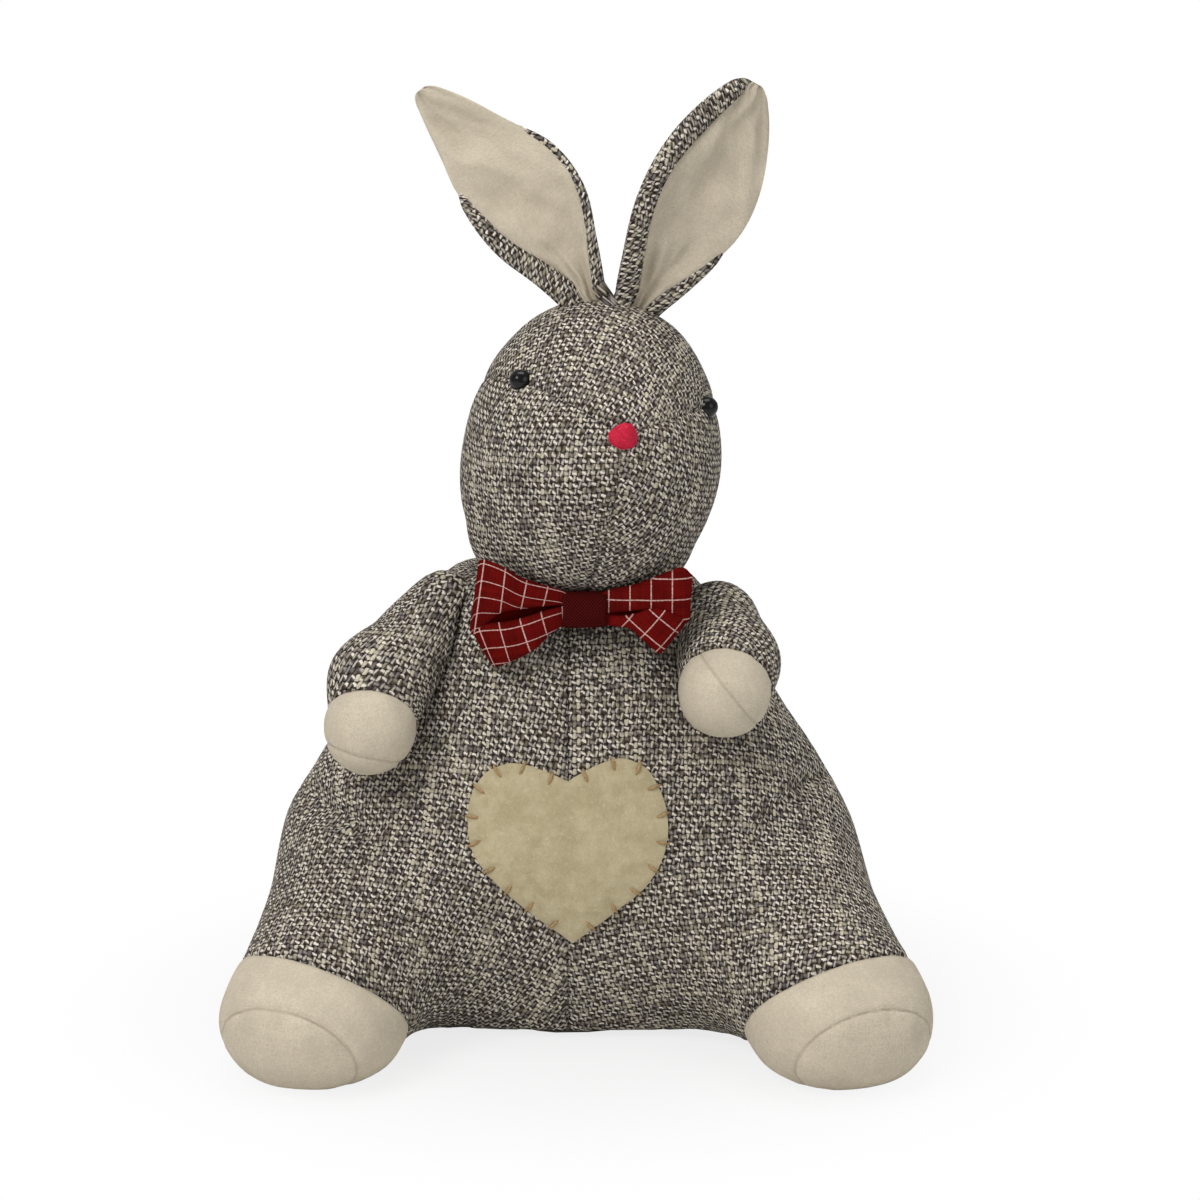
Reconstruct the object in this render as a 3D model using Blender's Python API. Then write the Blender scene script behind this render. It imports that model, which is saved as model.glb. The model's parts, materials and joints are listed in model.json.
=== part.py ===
"""Rabbit door stop: a weighted soft toy that sits on the floor and holds a door open.

Metres, +Z up. The rabbit faces -Y, so its own left side is +X. The origin is on the floor, under the torso.

Each stuffed form is a field: a function that is negative inside the form and grows with the distance outside it.
A round mesh is drawn onto the field along rays from a centre inside it, then cut into the pieces it is sewn from.
"""

import math

import bmesh
import bpy
import numpy as np
from mathutils import Matrix, Vector

# Clearances
SEAM_GAP = 0.0003  # between two pieces sewn edge to edge
SEAT_GAP = 0.0005  # between a rounded piece and what it is sewn to
ARM_GAP = 0.0007  # between the arms and the torso

# Cloth and felt
TWEED = 0.0018  # tweed with its interlining
BASE_CLOTH = 0.0020
FELT = 0.0012

# Torso, with the legs that are cut in one with it; the left side is given and the right side mirrors it
TORSO_CENTRE = (0.0, 0.020, 0.055)
BELLY_CENTRE = (-0.0015, 0.006, 0.062)
BELLY_RADII = (0.0880, 0.061, 0.088)
CHEST_CENTRE = (-0.0035, 0.010, 0.113)
CHEST_RADII = (0.0585, 0.044, 0.062)
CHEST_BLEND = 0.020
RIGHT_HIP = (-0.066, -0.008, 0.052)
LEFT_HIP = (0.0615, -0.012, 0.046)
HIP_RADIUS = 0.0360
ANKLE = (0.0870, -0.0620, 0.0230)
ANKLE_RADIUS = 0.0305
LEG_BLEND = 0.038
FLOOR_ROUNDING = 0.006
NECK_HEIGHT = 0.1590  # where the head is sewn down on the torso
NECK_ROUNDING = 0.004
MIDDLE_SEAM_X = -0.0030
SIDE_SEAM_Y = 0.004
HIP_CREASE = ((0.098, -0.020, 0.084), (0.066, -0.044, 0.074))  # where the leg bends out of the belly
CREASE_DEPTH = 0.0022
CREASE_SPREAD = 0.0065

# Sewn seams sink a little into the stuffing
SEAM_DIP = 0.0006
SEAM_SPREAD = 0.0045
FILLING_GAP = 0.00035
FILLING_INSET = TWEED + SEAM_DIP + FILLING_GAP

# Feet
ANKLE_FACING = (0.371, -0.547, -0.749)  # across the ankle seam, into the foot
FOOT_CENTRE = (0.0900, -0.0770, 0.0205)
FOOT_RADII = (0.0315, 0.0315, 0.0245)  # across the leg, along it, upright
FOOT_BLEND = 0.008
SOLE_FACING = (0.35, -0.80, -0.49)
SOLE_SEAM = 0.0180  # from the foot's middle to the seam round its sole

# Weight bag of sand, on the base panel
WEIGHT_CENTRE = (0.0, 0.010, 0.0300)
WEIGHT_RADII = (0.072, 0.043, 0.0340)
WEIGHT_ROUNDING = 0.004

# Head, built facing -Y about its own centre, then turned and set on the torso
HEAD_CENTRE = (0.0044, -0.0040, NECK_HEIGHT + 0.0390)
HEAD_YAW = 9.0  # degrees, towards the rabbit's left
HEAD_ROLL = 10.0  # degrees, left side down
SKULL_CENTRE = (0.0, 0.000, -0.008)
SKULL_RADII = (0.0430, 0.0440, 0.0480)
CROWN_CENTRE = (0.0, 0.002, 0.012)
CROWN_RADII = (0.0420, 0.0415, 0.0455)
CROWN_BLEND = 0.012
MUZZLE_CENTRE = (0.0, -0.025, 0.006)
MUZZLE_RADII = (0.0240, 0.0280, 0.0230)
MUZZLE_BLEND = 0.028

# Face, as directions from the head's centre: degrees to the side and degrees up.
# Each gusset seam runs in a plane from the nose over the eye to the nape.
EYE_SIDE = 57.0
EYE_UP = 37.0
EYE_RADIUS = 0.0040
EYE_PROUD = 0.0010  # how far the middle of the bead stands off the head
NOSE_UP = 21.5
NOSE_RADII = (0.0054, 0.0040, 0.0052)

# Arms, from shoulder to wrist, and the paws sewn on at the wrist
ARM_RADIUS_SHOULDER = 0.0150
ARM_RADIUS_ELBOW = 0.0160
ARM_RADIUS_WRIST = 0.0150
RIGHT_SHOULDER = (-0.0455, -0.004, NECK_HEIGHT - 0.0140)
RIGHT_ELBOW = (-0.068, -0.031, NECK_HEIGHT - 0.032)
RIGHT_WRIST = (-0.070, -0.043, NECK_HEIGHT - 0.041)
LEFT_SHOULDER = (0.0485, -0.010, NECK_HEIGHT - 0.0165)
LEFT_ELBOW = (0.0525, -0.029, NECK_HEIGHT - 0.0260)
LEFT_WRIST = (0.051, -0.041, NECK_HEIGHT - 0.030)
PAW_REACH = 0.004  # from the wrist to the middle of the paw
PAW_RADII = (0.0160, 0.0175, 0.0155)

# Ears: a leaf of tweed turned over the edge of its lining, pinched where it is sewn to the head
EAR_STATIONS = 9
RIGHT_EAR_WIDTHS = ((0.0, 0.0064), (0.15, 0.0116), (0.35, 0.0178), (0.55, 0.0178), (0.75, 0.0108), (0.9, 0.0062), (1.0, 0.0022))
LEFT_EAR_WIDTHS = ((0.0, 0.0074), (0.15, 0.0134), (0.35, 0.0190), (0.55, 0.0200), (0.75, 0.0166), (0.9, 0.0104), (1.0, 0.0030))
EAR_CUPS = ((0.0, 0.0070), (0.3, 0.0060), (0.6, 0.0045), (1.0, 0.0005))
RIGHT_EAR_BEND = 0.0058  # how far the middle of the ear bends away from the straight line
LEFT_EAR_BEND = 0.0006
BROAD_LIP = 0.0062  # how far the tweed is turned over the lining, on the right and on the left
THIN_LIP = 0.0018
EAR_TWEED = 0.0020
EAR_LINING = 0.0010
LINING_MARGIN = 0.0012  # between the lining's edge and the turned-over tweed
RIGHT_EAR_ROOT = -0.0102  # from the crown's middle, to the side
LEFT_EAR_ROOT = 0.0055
EAR_ROOT_BACK = 0.004
EAR_ROOT_LIFT = 0.020  # the roots are dropped onto the head from that far up the ear
RIGHT_EAR_TIP = (-0.0535, 0.008, NECK_HEIGHT + 0.1675)
LEFT_EAR_TIP = (0.0600, 0.010, NECK_HEIGHT + 0.1705)
RIGHT_EAR_FACING = (0.10, -1.0, 0.0)
LEFT_EAR_FACING = (0.50, -0.86, 0.0)

# Bow tie: one folded cloth, pinched by the knot band
BOW_X = 0.0020
BOW_HEIGHT = NECK_HEIGHT - 0.0040
BOW_START_Y = -0.100  # the bow is set back onto the rabbit from there
BOW_POINTS = 12
# Rings along the bow, from the right wing's end to the left wing's:
# along, top edge, bottom edge, half thickness, and the share that the crease along its middle takes off it
BOW_RINGS = (
    (-0.0385, 0.0020, -0.0080, 0.0022, 0.05),
    (-0.0345, 0.0150, -0.0150, 0.0045, 0.30),
    (-0.0297, 0.0145, -0.0200, 0.0052, 0.40),
    (-0.0240, 0.0118, -0.0178, 0.0056, 0.50),
    (-0.0160, 0.0076, -0.0135, 0.0052, 0.50),
    (-0.0095, 0.0046, -0.0048, 0.0030, 0.05),
    (0.0095, 0.0046, -0.0048, 0.0030, 0.05),
    (0.0160, 0.0080, -0.0066, 0.0048, 0.35),
    (0.0245, 0.0116, -0.0140, 0.0052, 0.35),
    (0.0310, 0.0138, -0.0092, 0.0046, 0.30),
    (0.0358, 0.0120, 0.0020, 0.0024, 0.05),
)
CREASE_SHARE = 0.32  # half width of the crease, as a share of the wing's height
KNOT_HALF_WIDTH = 0.0085
KNOT_HALF_HEIGHT = 0.0048
KNOT_HALF_DEPTH = 0.0030
KNOT_BAND = 0.0014
KNOT_CLEARANCE = 0.0004

# Heart patch of felt and its edge stitches
HEART_X = -0.0030
HEART_HEIGHT = 0.0706
HEART_WIDTH = 0.0685
HEART_TALL = 0.0635
HEART_NOTCH = (0.23, 0.22)  # how much of the notch at the top is filled, and how wide, as shares of the heart
HEART_START_Y = -0.160  # the patch is laid on the belly from there
HEART_POINTS = 32
HEART_RINGS = 3
STITCHES_PER_SIDE = 10
STITCH_SPAN = (0.06, 0.91)  # first and last stitch of each side, as shares of the way from the notch to the tip
STITCH_LENGTH = 0.0052
STITCH_WIDTH = 0.0010
STITCH_OVERHANG = 0.0012  # how far a stitch reaches past the patch's edge

# Mesh fineness: icosphere levels, and the head's longest edge
FINENESS = {"torso": 4, "head": 3, "limb": 3, "bag": 2, "bead": 2}
HEAD_EDGE = 0.0150
RAY_REACH = 0.25
RAY_STEPS = 100
HALVINGS = 30

COLOURS = {
    "tweed": ((0.147, 0.125, 0.100), 0.95),
    "cream_cotton": ((0.578, 0.515, 0.402), 0.90),
    "felt": ((0.456, 0.392, 0.238), 0.95),
    "red_check": ((0.160, 0.010, 0.009), 0.85),
    "knot_red": ((0.050, 0.007, 0.006), 0.85),
    "nose_red": ((0.451, 0.016, 0.040), 0.80),
    "eye_black": ((0.010, 0.010, 0.011), 0.15),
    "thread": ((0.250, 0.150, 0.060), 0.80),
    "base_cloth": ((0.100, 0.090, 0.080), 0.95),
    "filling": ((0.800, 0.800, 0.780), 1.00),
    "sand_bag": ((0.420, 0.380, 0.300), 0.95),
}


# Fields


def ellipsoid(points, centre, radii):
    """Field of an ellipsoid."""
    scaled = (points - np.array(centre)) / np.array(radii)
    length = np.linalg.norm(scaled, axis=1)
    slope = np.linalg.norm(scaled / np.array(radii), axis=1)
    return length * (length - 1.0) / np.maximum(slope, 1e-9)


def round_cone(points, start, end, start_radius, end_radius):
    """Field of a stick with round ends of two radii."""
    start = np.array(start)
    along = np.array(end) - start
    share = np.clip((points - start) @ along / (along @ along), 0.0, 1.0)
    nearest = start + share[:, None] * along
    radius = start_radius + share * (end_radius - start_radius)
    return np.linalg.norm(points - nearest, axis=1) - radius


def blended(first, second, radius):
    """Union of two fields, with a fillet of about that radius."""
    mix = np.clip(0.5 + 0.5 * (second - first) / radius, 0.0, 1.0)
    return second + mix * (first - second) - radius * mix * (1.0 - mix)


def trimmed(field, limit, radius):
    """The part of a field that is also inside a limit, with a rounded edge."""
    return -blended(-field, -limit, radius)


def on_side(values, side):
    """The left side's point or direction, mirrored for side -1."""
    return Vector((values[0] * side, values[1], values[2]))


def dip(distance, depth, spread):
    """Soft groove, by the distance from its bottom."""
    return depth * np.exp(-((distance / spread) ** 2))


def leg_field(points, side):
    """Leg on side -1 or 1, with a round end past the ankle."""
    hip = LEFT_HIP if side > 0 else RIGHT_HIP
    return round_cone(points, hip, on_side(ANKLE, side), HIP_RADIUS, ANKLE_RADIUS)


def torso_field(points):
    """Torso and legs, flat on the floor and flat where the head is sewn on."""
    folded = np.array(points)
    folded[:, 0] = np.abs(folded[:, 0])
    belly = ellipsoid(points, BELLY_CENTRE, BELLY_RADII)
    chest = ellipsoid(points, CHEST_CENTRE, CHEST_RADII)
    body = blended(belly, chest, CHEST_BLEND)
    for side in (-1, 1):
        body = blended(body, leg_field(points, side), LEG_BLEND)
    body = body + dip(round_cone(folded, *HIP_CREASE, 0.0, 0.0), CREASE_DEPTH, CREASE_SPREAD)
    body = body + dip(points[:, 1] - SIDE_SEAM_Y, SEAM_DIP, SEAM_SPREAD)
    front = points[:, 1] < SIDE_SEAM_Y
    body = body + np.where(front, dip(points[:, 0] - MIDDLE_SEAM_X, SEAM_DIP, SEAM_SPREAD), 0.0)
    body = trimmed(body, points[:, 2] - (NECK_HEIGHT - SEAT_GAP), NECK_ROUNDING)
    return trimmed(body, -points[:, 2], FLOOR_ROUNDING)


def head_turn():
    """Rotation of the head, from facing -Y to its place."""
    yaw = Matrix.Rotation(math.radians(HEAD_YAW), 3, "Z")
    roll = Matrix.Rotation(math.radians(HEAD_ROLL), 3, "Y")
    return yaw @ roll


def head_direction(side_degrees, up_degrees):
    """Direction from the head's centre, turned with the head."""
    side, up = math.radians(side_degrees), math.radians(up_degrees)
    return head_turn() @ Vector((math.sin(side) * math.cos(up), -math.cos(side) * math.cos(up), math.sin(up)))


def head_planes():
    """Normals of the head's seam planes: left and right of the gusset, towards the sides, and the middle."""
    nose = head_direction(0.0, NOSE_UP)
    left = head_direction(EYE_SIDE, EYE_UP).cross(nose).normalized()
    right = nose.cross(head_direction(-EYE_SIDE, EYE_UP)).normalized()
    return left, right, head_turn() @ Vector((1.0, 0.0, 0.0))


def head_field(points):
    """Head with its muzzle, flat where it is sewn to the torso."""
    local = (points - np.array(HEAD_CENTRE)) @ np.array(head_turn())
    skull = ellipsoid(local, SKULL_CENTRE, SKULL_RADII)
    crown = ellipsoid(local, CROWN_CENTRE, CROWN_RADII)
    muzzle = ellipsoid(local, MUZZLE_CENTRE, MUZZLE_RADII)
    head = blended(blended(skull, crown, CROWN_BLEND), muzzle, MUZZLE_BLEND)
    left, right, middle = head_planes()
    offsets = points - np.array(HEAD_CENTRE)
    off_left, off_right = offsets @ np.array(left), offsets @ np.array(right)
    off_middle = np.where(np.maximum(off_left, off_right) > 0.0, offsets @ np.array(middle), 1.0)
    for off_seam in (off_left, off_right, off_middle):
        head = head + dip(off_seam, SEAM_DIP, SEAM_SPREAD)
    return trimmed(head, NECK_HEIGHT - points[:, 2], NECK_ROUNDING)


def rays_out(field, origins, directions, reach=RAY_REACH):
    """First point on each ray, from inside a form, where the field turns positive."""
    origins = np.broadcast_to(origins, directions.shape)
    near = np.zeros(len(directions))
    far = np.full(len(directions), reach)
    searching = np.ones(len(directions), bool)
    for step in np.linspace(0.0, reach, RAY_STEPS)[1:]:
        outside = field(origins + step * directions) > 0.0
        far[searching & outside] = step
        searching &= ~outside
        near[searching] = step
    for _ in range(HALVINGS):
        middle = 0.5 * (near + far)
        outside = field(origins + middle[:, None] * directions) > 0.0
        far = np.where(outside, middle, far)
        near = np.where(outside, near, middle)
    return origins + (0.5 * (near + far))[:, None] * directions


def drop_onto(field, points, direction, gap):
    """Moves points, from outside, along a direction until they are that gap off the field's surface."""
    toward = np.broadcast_to(np.array(direction, float), points.shape)
    return rays_out(lambda p: gap - field(p), points, toward)


def normals_of(field, points):
    """Outward unit normals of a field at points."""
    slopes = np.empty_like(points)
    for axis in range(3):
        step = np.zeros(3)
        step[axis] = 1e-4
        slopes[:, axis] = field(points + step) - field(points - step)
    return slopes / np.linalg.norm(slopes, axis=1)[:, None]


def interpolated(table, share):
    """Smooth value between the rows of a table of (share, value)."""
    shares = np.array([row[0] for row in table])
    values = np.array([row[1:] for row in table])
    index = int(np.clip(np.searchsorted(shares, share) - 1, 0, len(table) - 2))
    slopes = np.gradient(values, shares, axis=0)
    width = shares[index + 1] - shares[index]
    t = (share - shares[index]) / width
    start = (2 * t**3 - 3 * t**2 + 1) * values[index] + (t**3 - 2 * t**2 + t) * width * slopes[index]
    end = (3 * t**2 - 2 * t**3) * values[index + 1] + (t**3 - t**2) * width * slopes[index + 1]
    return start + end


# Meshes


def sphere_on(field, centre, fineness, longest=None):
    """A round mesh drawn onto a field's surface, with long edges split."""
    mesh = bmesh.new()
    bmesh.ops.create_icosphere(mesh, subdivisions=fineness, radius=1.0, matrix=Matrix.Translation(centre))
    settle(mesh, field, centre)
    for _ in range(2 if longest else 0):
        edges = [edge for edge in mesh.edges if edge.calc_length() > longest]
        bmesh.ops.subdivide_edges(mesh, edges=edges, cuts=1)
        bmesh.ops.triangulate(mesh, faces=mesh.faces[:])
        settle(mesh, field, centre)
    return mesh


def settle(mesh, field, centre):
    """Draws every vertex onto the field's surface, along its ray from the centre."""
    middle = np.array(centre)
    offsets = np.array([vertex.co for vertex in mesh.verts]) - middle
    directions = offsets / np.linalg.norm(offsets, axis=1)[:, None]
    for vertex, place in zip(mesh.verts, rays_out(field, middle, directions)):
        vertex.co = place


def inset(mesh, field, depth):
    """A copy of a closed mesh, drawn in by that depth."""
    inner = mesh.copy()
    points = np.array([vertex.co for vertex in inner.verts])
    for vertex, place in zip(inner.verts, points - depth * normals_of(field, points)):
        vertex.co = place
    return inner


def face_outwards(mesh):
    """Turns a closed mesh's faces outwards."""
    bmesh.ops.recalc_face_normals(mesh, faces=mesh.faces[:])
    if mesh.calc_volume(signed=True) < 0.0:
        bmesh.ops.reverse_faces(mesh, faces=mesh.faces[:])
    return mesh


def cut(mesh, point, normal, solid=False):
    """Removes what lies on the side that the normal points to, and closes a solid with a flat face."""
    everything = mesh.verts[:] + mesh.edges[:] + mesh.faces[:]
    bmesh.ops.bisect_plane(mesh, geom=everything, dist=1e-7, plane_co=point, plane_no=normal, clear_outer=True)
    if solid:
        rim = [edge for edge in mesh.edges if edge.is_boundary]
        bmesh.ops.holes_fill(mesh, edges=rim, sides=0)
        face_outwards(mesh)
    return mesh


def within(directions, points, planes):
    """Directions turned to run along each plane that their point lies on."""
    for _ in range(2):
        for place, normal in planes:
            normal = np.array(normal)
            on_plane = np.abs((points - np.array(place)) @ normal) < 1e-6
            across = directions[on_plane] @ normal
            directions[on_plane] -= across[:, None] * normal
            directions[on_plane] /= np.linalg.norm(directions[on_plane], axis=1)[:, None]
    return directions


def thicken(mesh, field, thickness, planes):
    """Sinks an open panel's seams, and gives it its inner face and the edges along the planes it was cut at."""
    outer = mesh.verts[:]
    points = np.array([vertex.co for vertex in outer])
    normals = within(normals_of(field, points), points, planes)
    points -= normals * np.maximum(field(points), 0.0)[:, None]
    normals = within(normals_of(field, points), points, planes)
    rim = [edge for edge in mesh.edges if edge.is_boundary]
    faces = mesh.faces[:]
    inner = {}
    for vertex, place, normal in zip(outer, points, normals):
        vertex.co = place
        inner[vertex] = mesh.verts.new(place - thickness * normal)
    for edge in rim:
        loop = edge.link_loops[0]
        first, second = loop.vert, loop.link_loop_next.vert
        mesh.faces.new((second, first, inner[first], inner[second]))
    for face in faces:
        mesh.faces.new([inner[vertex] for vertex in reversed(face.verts)])
    return mesh


def carved(mesh, tool):
    """The mesh with the tool's shape taken out of it."""
    solids = []
    for shape in (mesh, tool):
        data = bpy.data.meshes.new("carving")
        shape.to_mesh(data)
        shape.free()
        solids.append(bpy.data.objects.new("carving", data))
        bpy.context.scene.collection.objects.link(solids[-1])
    carve = solids[0].modifiers.new("carve", "BOOLEAN")
    carve.operation = "DIFFERENCE"
    carve.object = solids[1]
    evaluated = solids[0].evaluated_get(bpy.context.evaluated_depsgraph_get())
    result = bmesh.new()
    result.from_mesh(evaluated.to_mesh())
    for solid in solids:
        bpy.data.objects.remove(solid)
    return result


def closed_loft(rings):
    """Mesh through closed rings of points, with both ends capped."""
    mesh = bmesh.new()
    rows = [[mesh.verts.new(point) for point in ring] for ring in rings]
    count = len(rows[0])
    for low, high in zip(rows, rows[1:]):
        for i in range(count):
            j = (i + 1) % count
            mesh.faces.new((low[i], low[j], high[j], high[i]))
    mesh.faces.new(list(reversed(rows[0])))
    mesh.faces.new(rows[-1])
    return face_outwards(mesh)


def material_of(slot):
    """The material of a slot, made the first time that it is asked for."""
    found = bpy.data.materials.get(slot)
    if found:
        return found
    colour, roughness = COLOURS[slot]
    made = bpy.data.materials.new(slot)
    made.use_nodes = True
    shader = made.node_tree.nodes["Principled BSDF"]
    shader.inputs["Base Color"].default_value = (*colour, 1.0)
    shader.inputs["Roughness"].default_value = roughness
    return made


def add_object(name, mesh, slot, flat=False):
    """Puts a finished mesh in the scene as a named object."""
    data = bpy.data.meshes.new(name)
    mesh.to_mesh(data)
    mesh.free()
    if not flat:
        data.shade_smooth()
        data.set_sharp_from_angle(angle=math.radians(40.0))
    data.materials.append(material_of(slot))
    made = bpy.data.objects.new(name, data)
    bpy.context.scene.collection.objects.link(made)
    return made


# Torso and legs


def make_panel(name, whole, field, planes):
    """One tweed panel of a cover: what is left of the whole form after cuts at planes, each a point and a normal."""
    panel = whole.copy()
    for place, normal in planes:
        cut(panel, place, normal)
    add_object(name, thicken(panel, field, TWEED, planes), "tweed")


def ankle_plane(side, gap):
    """Point and normal of the plane that ends the leg, that far short of the ankle seam."""
    normal = on_side(ANKLE_FACING, side).normalized()
    return on_side(ANKLE, side) - normal * gap, normal


def make_torso():
    """Front and back panels of the cover, the base panel that closes it, and what is inside."""
    half_gap = SEAM_GAP / 2.0
    whole = sphere_on(torso_field, TORSO_CENTRE, FINENESS["torso"])
    hem = ((0.0, 0.0, BASE_CLOTH + SEAM_GAP), (0.0, 0.0, -1.0))
    for name, side in (("torso_front_left", 1), ("torso_front_right", -1)):
        side_seam = ((0.0, SIDE_SEAM_Y - half_gap, 0.0), (0.0, 1.0, 0.0))
        middle_seam = ((MIDDLE_SEAM_X + half_gap * side, 0.0, 0.0), (-side, 0.0, 0.0))
        make_panel(name, whole, torso_field, (side_seam, middle_seam, hem, ankle_plane(side, half_gap)))
    side_seam = ((0.0, SIDE_SEAM_Y + half_gap, 0.0), (0.0, -1.0, 0.0))
    make_panel("torso_back", whole, torso_field, (side_seam, hem))
    make_inside(whole)
    base = cut(whole, (0.0, 0.0, BASE_CLOTH), (0.0, 0.0, 1.0), solid=True)
    for side in (-1, 1):
        cut(base, *ankle_plane(side, half_gap), solid=True)
    bmesh.ops.dissolve_limit(base, angle_limit=math.radians(0.5), verts=base.verts[:], edges=base.edges[:])
    add_object("base_panel", face_outwards(base), "base_cloth", flat=True)


def weight_field(points):
    """Sand bag, flat on the base panel."""
    bag = ellipsoid(points, WEIGHT_CENTRE, WEIGHT_RADII)
    return trimmed(bag, BASE_CLOTH + SEAM_GAP - points[:, 2], WEIGHT_ROUNDING)


def make_inside(whole):
    """Sand bag on the base panel, and the soft filling round it."""
    add_object("weight_bag", sphere_on(weight_field, WEIGHT_CENTRE, FINENESS["bag"]), "sand_bag")
    room = sphere_on(lambda p: ellipsoid(p, WEIGHT_CENTRE, WEIGHT_RADII) - SEAT_GAP, WEIGHT_CENTRE, FINENESS["bag"])
    filling = inset(whole, torso_field, FILLING_INSET)
    cut(filling, (0.0, 0.0, FILLING_INSET + SEAT_GAP), (0.0, 0.0, -1.0), solid=True)
    for side in (-1, 1):
        cut(filling, *ankle_plane(side, SEAM_GAP / 2.0), solid=True)
    add_object("torso_filling", carved(filling, room), "filling")


def make_feet():
    """Stuffed feet, sewn on at the ankles, each with its sole."""
    for name, side in (("left", 1), ("right", -1)):
        normal = on_side(ANKLE_FACING, side).normalized()
        middle = on_side(FOOT_CENTRE, side)
        across = Vector((0.0, 0.0, 1.0)).cross(normal).normalized()
        axes = np.array((across, Vector((0.0, 0.0, 1.0)).cross(across), (0.0, 0.0, 1.0)))

        def foot_field(points, side=side, middle=middle, axes=axes):
            local = (points - np.array(middle)) @ axes.T
            foot = ellipsoid(local, (0.0, 0.0, 0.0), FOOT_RADII)
            return trimmed(blended(foot, leg_field(points, side), FOOT_BLEND), -points[:, 2], FLOOR_ROUNDING)

        whole = sphere_on(foot_field, middle, FINENESS["limb"])
        sole_normal = on_side(SOLE_FACING, side).normalized()
        seam = middle + sole_normal * SOLE_SEAM
        foot = cut(whole.copy(), on_side(ANKLE, side) + normal * SEAM_GAP / 2.0, -normal, solid=True)
        cut(foot, seam - sole_normal * SEAM_GAP / 2.0, sole_normal, solid=True)
        add_object("foot_" + name, foot, "cream_cotton")
        sole = cut(whole, seam + sole_normal * SEAM_GAP / 2.0, -sole_normal, solid=True)
        add_object("sole_" + name, sole, "cream_cotton")


# Head


def make_head():
    """Gusset over the crown, two side panels that meet under the nose, and the filling."""
    half_gap = SEAM_GAP / 2.0
    centre = Vector(HEAD_CENTRE)
    left, right, middle = head_planes()
    whole = sphere_on(head_field, HEAD_CENTRE, FINENESS["head"], HEAD_EDGE)
    make_panel("head_gusset", whole, head_field, ((centre - left * half_gap, left), (centre - right * half_gap, right)))
    for name, seam, side in (("head_side_left", left, 1), ("head_side_right", right, -1)):
        middle_seam = (centre + middle * side * half_gap, -middle * side)
        make_panel(name, whole, head_field, ((centre + seam * half_gap, -seam), middle_seam))
    whole.free()
    filling = sphere_on(lambda p: head_field(p) + FILLING_INSET, HEAD_CENTRE, FINENESS["limb"])
    add_object("head_filling", filling, "filling")


def face_point(side_degrees, up_degrees):
    """Point on the head's surface in a direction from its centre."""
    ray = np.array([head_direction(side_degrees, up_degrees)])
    return rays_out(head_field, np.array(HEAD_CENTRE), ray)[0]


def make_face():
    """Eye beads and nose, seated on the head."""
    for name, side in (("eye_left", 1), ("eye_right", -1)):
        seat = face_point(side * EYE_SIDE, EYE_UP)
        middle = seat + normals_of(head_field, seat[None])[0] * EYE_PROUD

        def bead_field(points, middle=middle):
            bead = ellipsoid(points, middle, (EYE_RADIUS,) * 3)
            return np.maximum(bead, SEAT_GAP - head_field(points))

        add_object(name, sphere_on(bead_field, middle, FINENESS["bead"]), "eye_black")
    seat = face_point(0.0, NOSE_UP)
    middle = seat + normals_of(head_field, seat[None])[0] * 2.0 * SEAT_GAP

    def nose_field(points):
        local = (points - middle) @ np.array(head_turn())
        nose = ellipsoid(local, (0.0, 0.0, 0.0), NOSE_RADII)
        return np.maximum(nose, SEAT_GAP - head_field(points))

    add_object("nose", sphere_on(nose_field, middle, FINENESS["bead"]), "nose_red")


# Arms


def make_arm(side_name, shoulder, elbow, wrist):
    """Arm pressed against the torso, and the paw sewn on at its wrist."""
    normal = (Vector(wrist) - Vector(elbow)).normalized()

    def arm_field(points):
        upper = round_cone(points, shoulder, elbow, ARM_RADIUS_SHOULDER, ARM_RADIUS_ELBOW)
        lower = round_cone(points, elbow, wrist, ARM_RADIUS_ELBOW, ARM_RADIUS_WRIST)
        arm = blended(upper, lower, ARM_RADIUS_ELBOW / 2.0)
        return np.maximum(arm, ARM_GAP - torso_field(points))

    arm = sphere_on(arm_field, elbow, FINENESS["limb"])
    cut(arm, Vector(wrist) - normal * SEAM_GAP / 2.0, normal, solid=True)
    add_object("arm_" + side_name, arm, "tweed")

    middle = Vector(wrist) + normal * PAW_REACH
    across = normal.cross(Vector((0.0, 0.0, 1.0))).normalized()
    axes = np.array((across, normal, across.cross(normal)))

    def paw_field(points):
        local = (points - np.array(middle)) @ axes.T
        paw = ellipsoid(local, (0.0, 0.0, 0.0), PAW_RADII)
        return np.maximum(paw, ARM_GAP - torso_field(points))

    paw = sphere_on(paw_field, middle, FINENESS["limb"])
    cut(paw, Vector(wrist) + normal * SEAM_GAP / 2.0, -normal, solid=True)
    add_object("paw_" + side_name, paw, "cream_cotton")


# Ears


def ear_frame(root, tip, facing):
    """Axes of an ear: along it, across it and out of its front."""
    along = (Vector(tip) - Vector(root)).normalized()
    front = Vector(facing)
    front = (front - along * front.dot(along)).normalized()
    return along, along.cross(front), front


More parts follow.
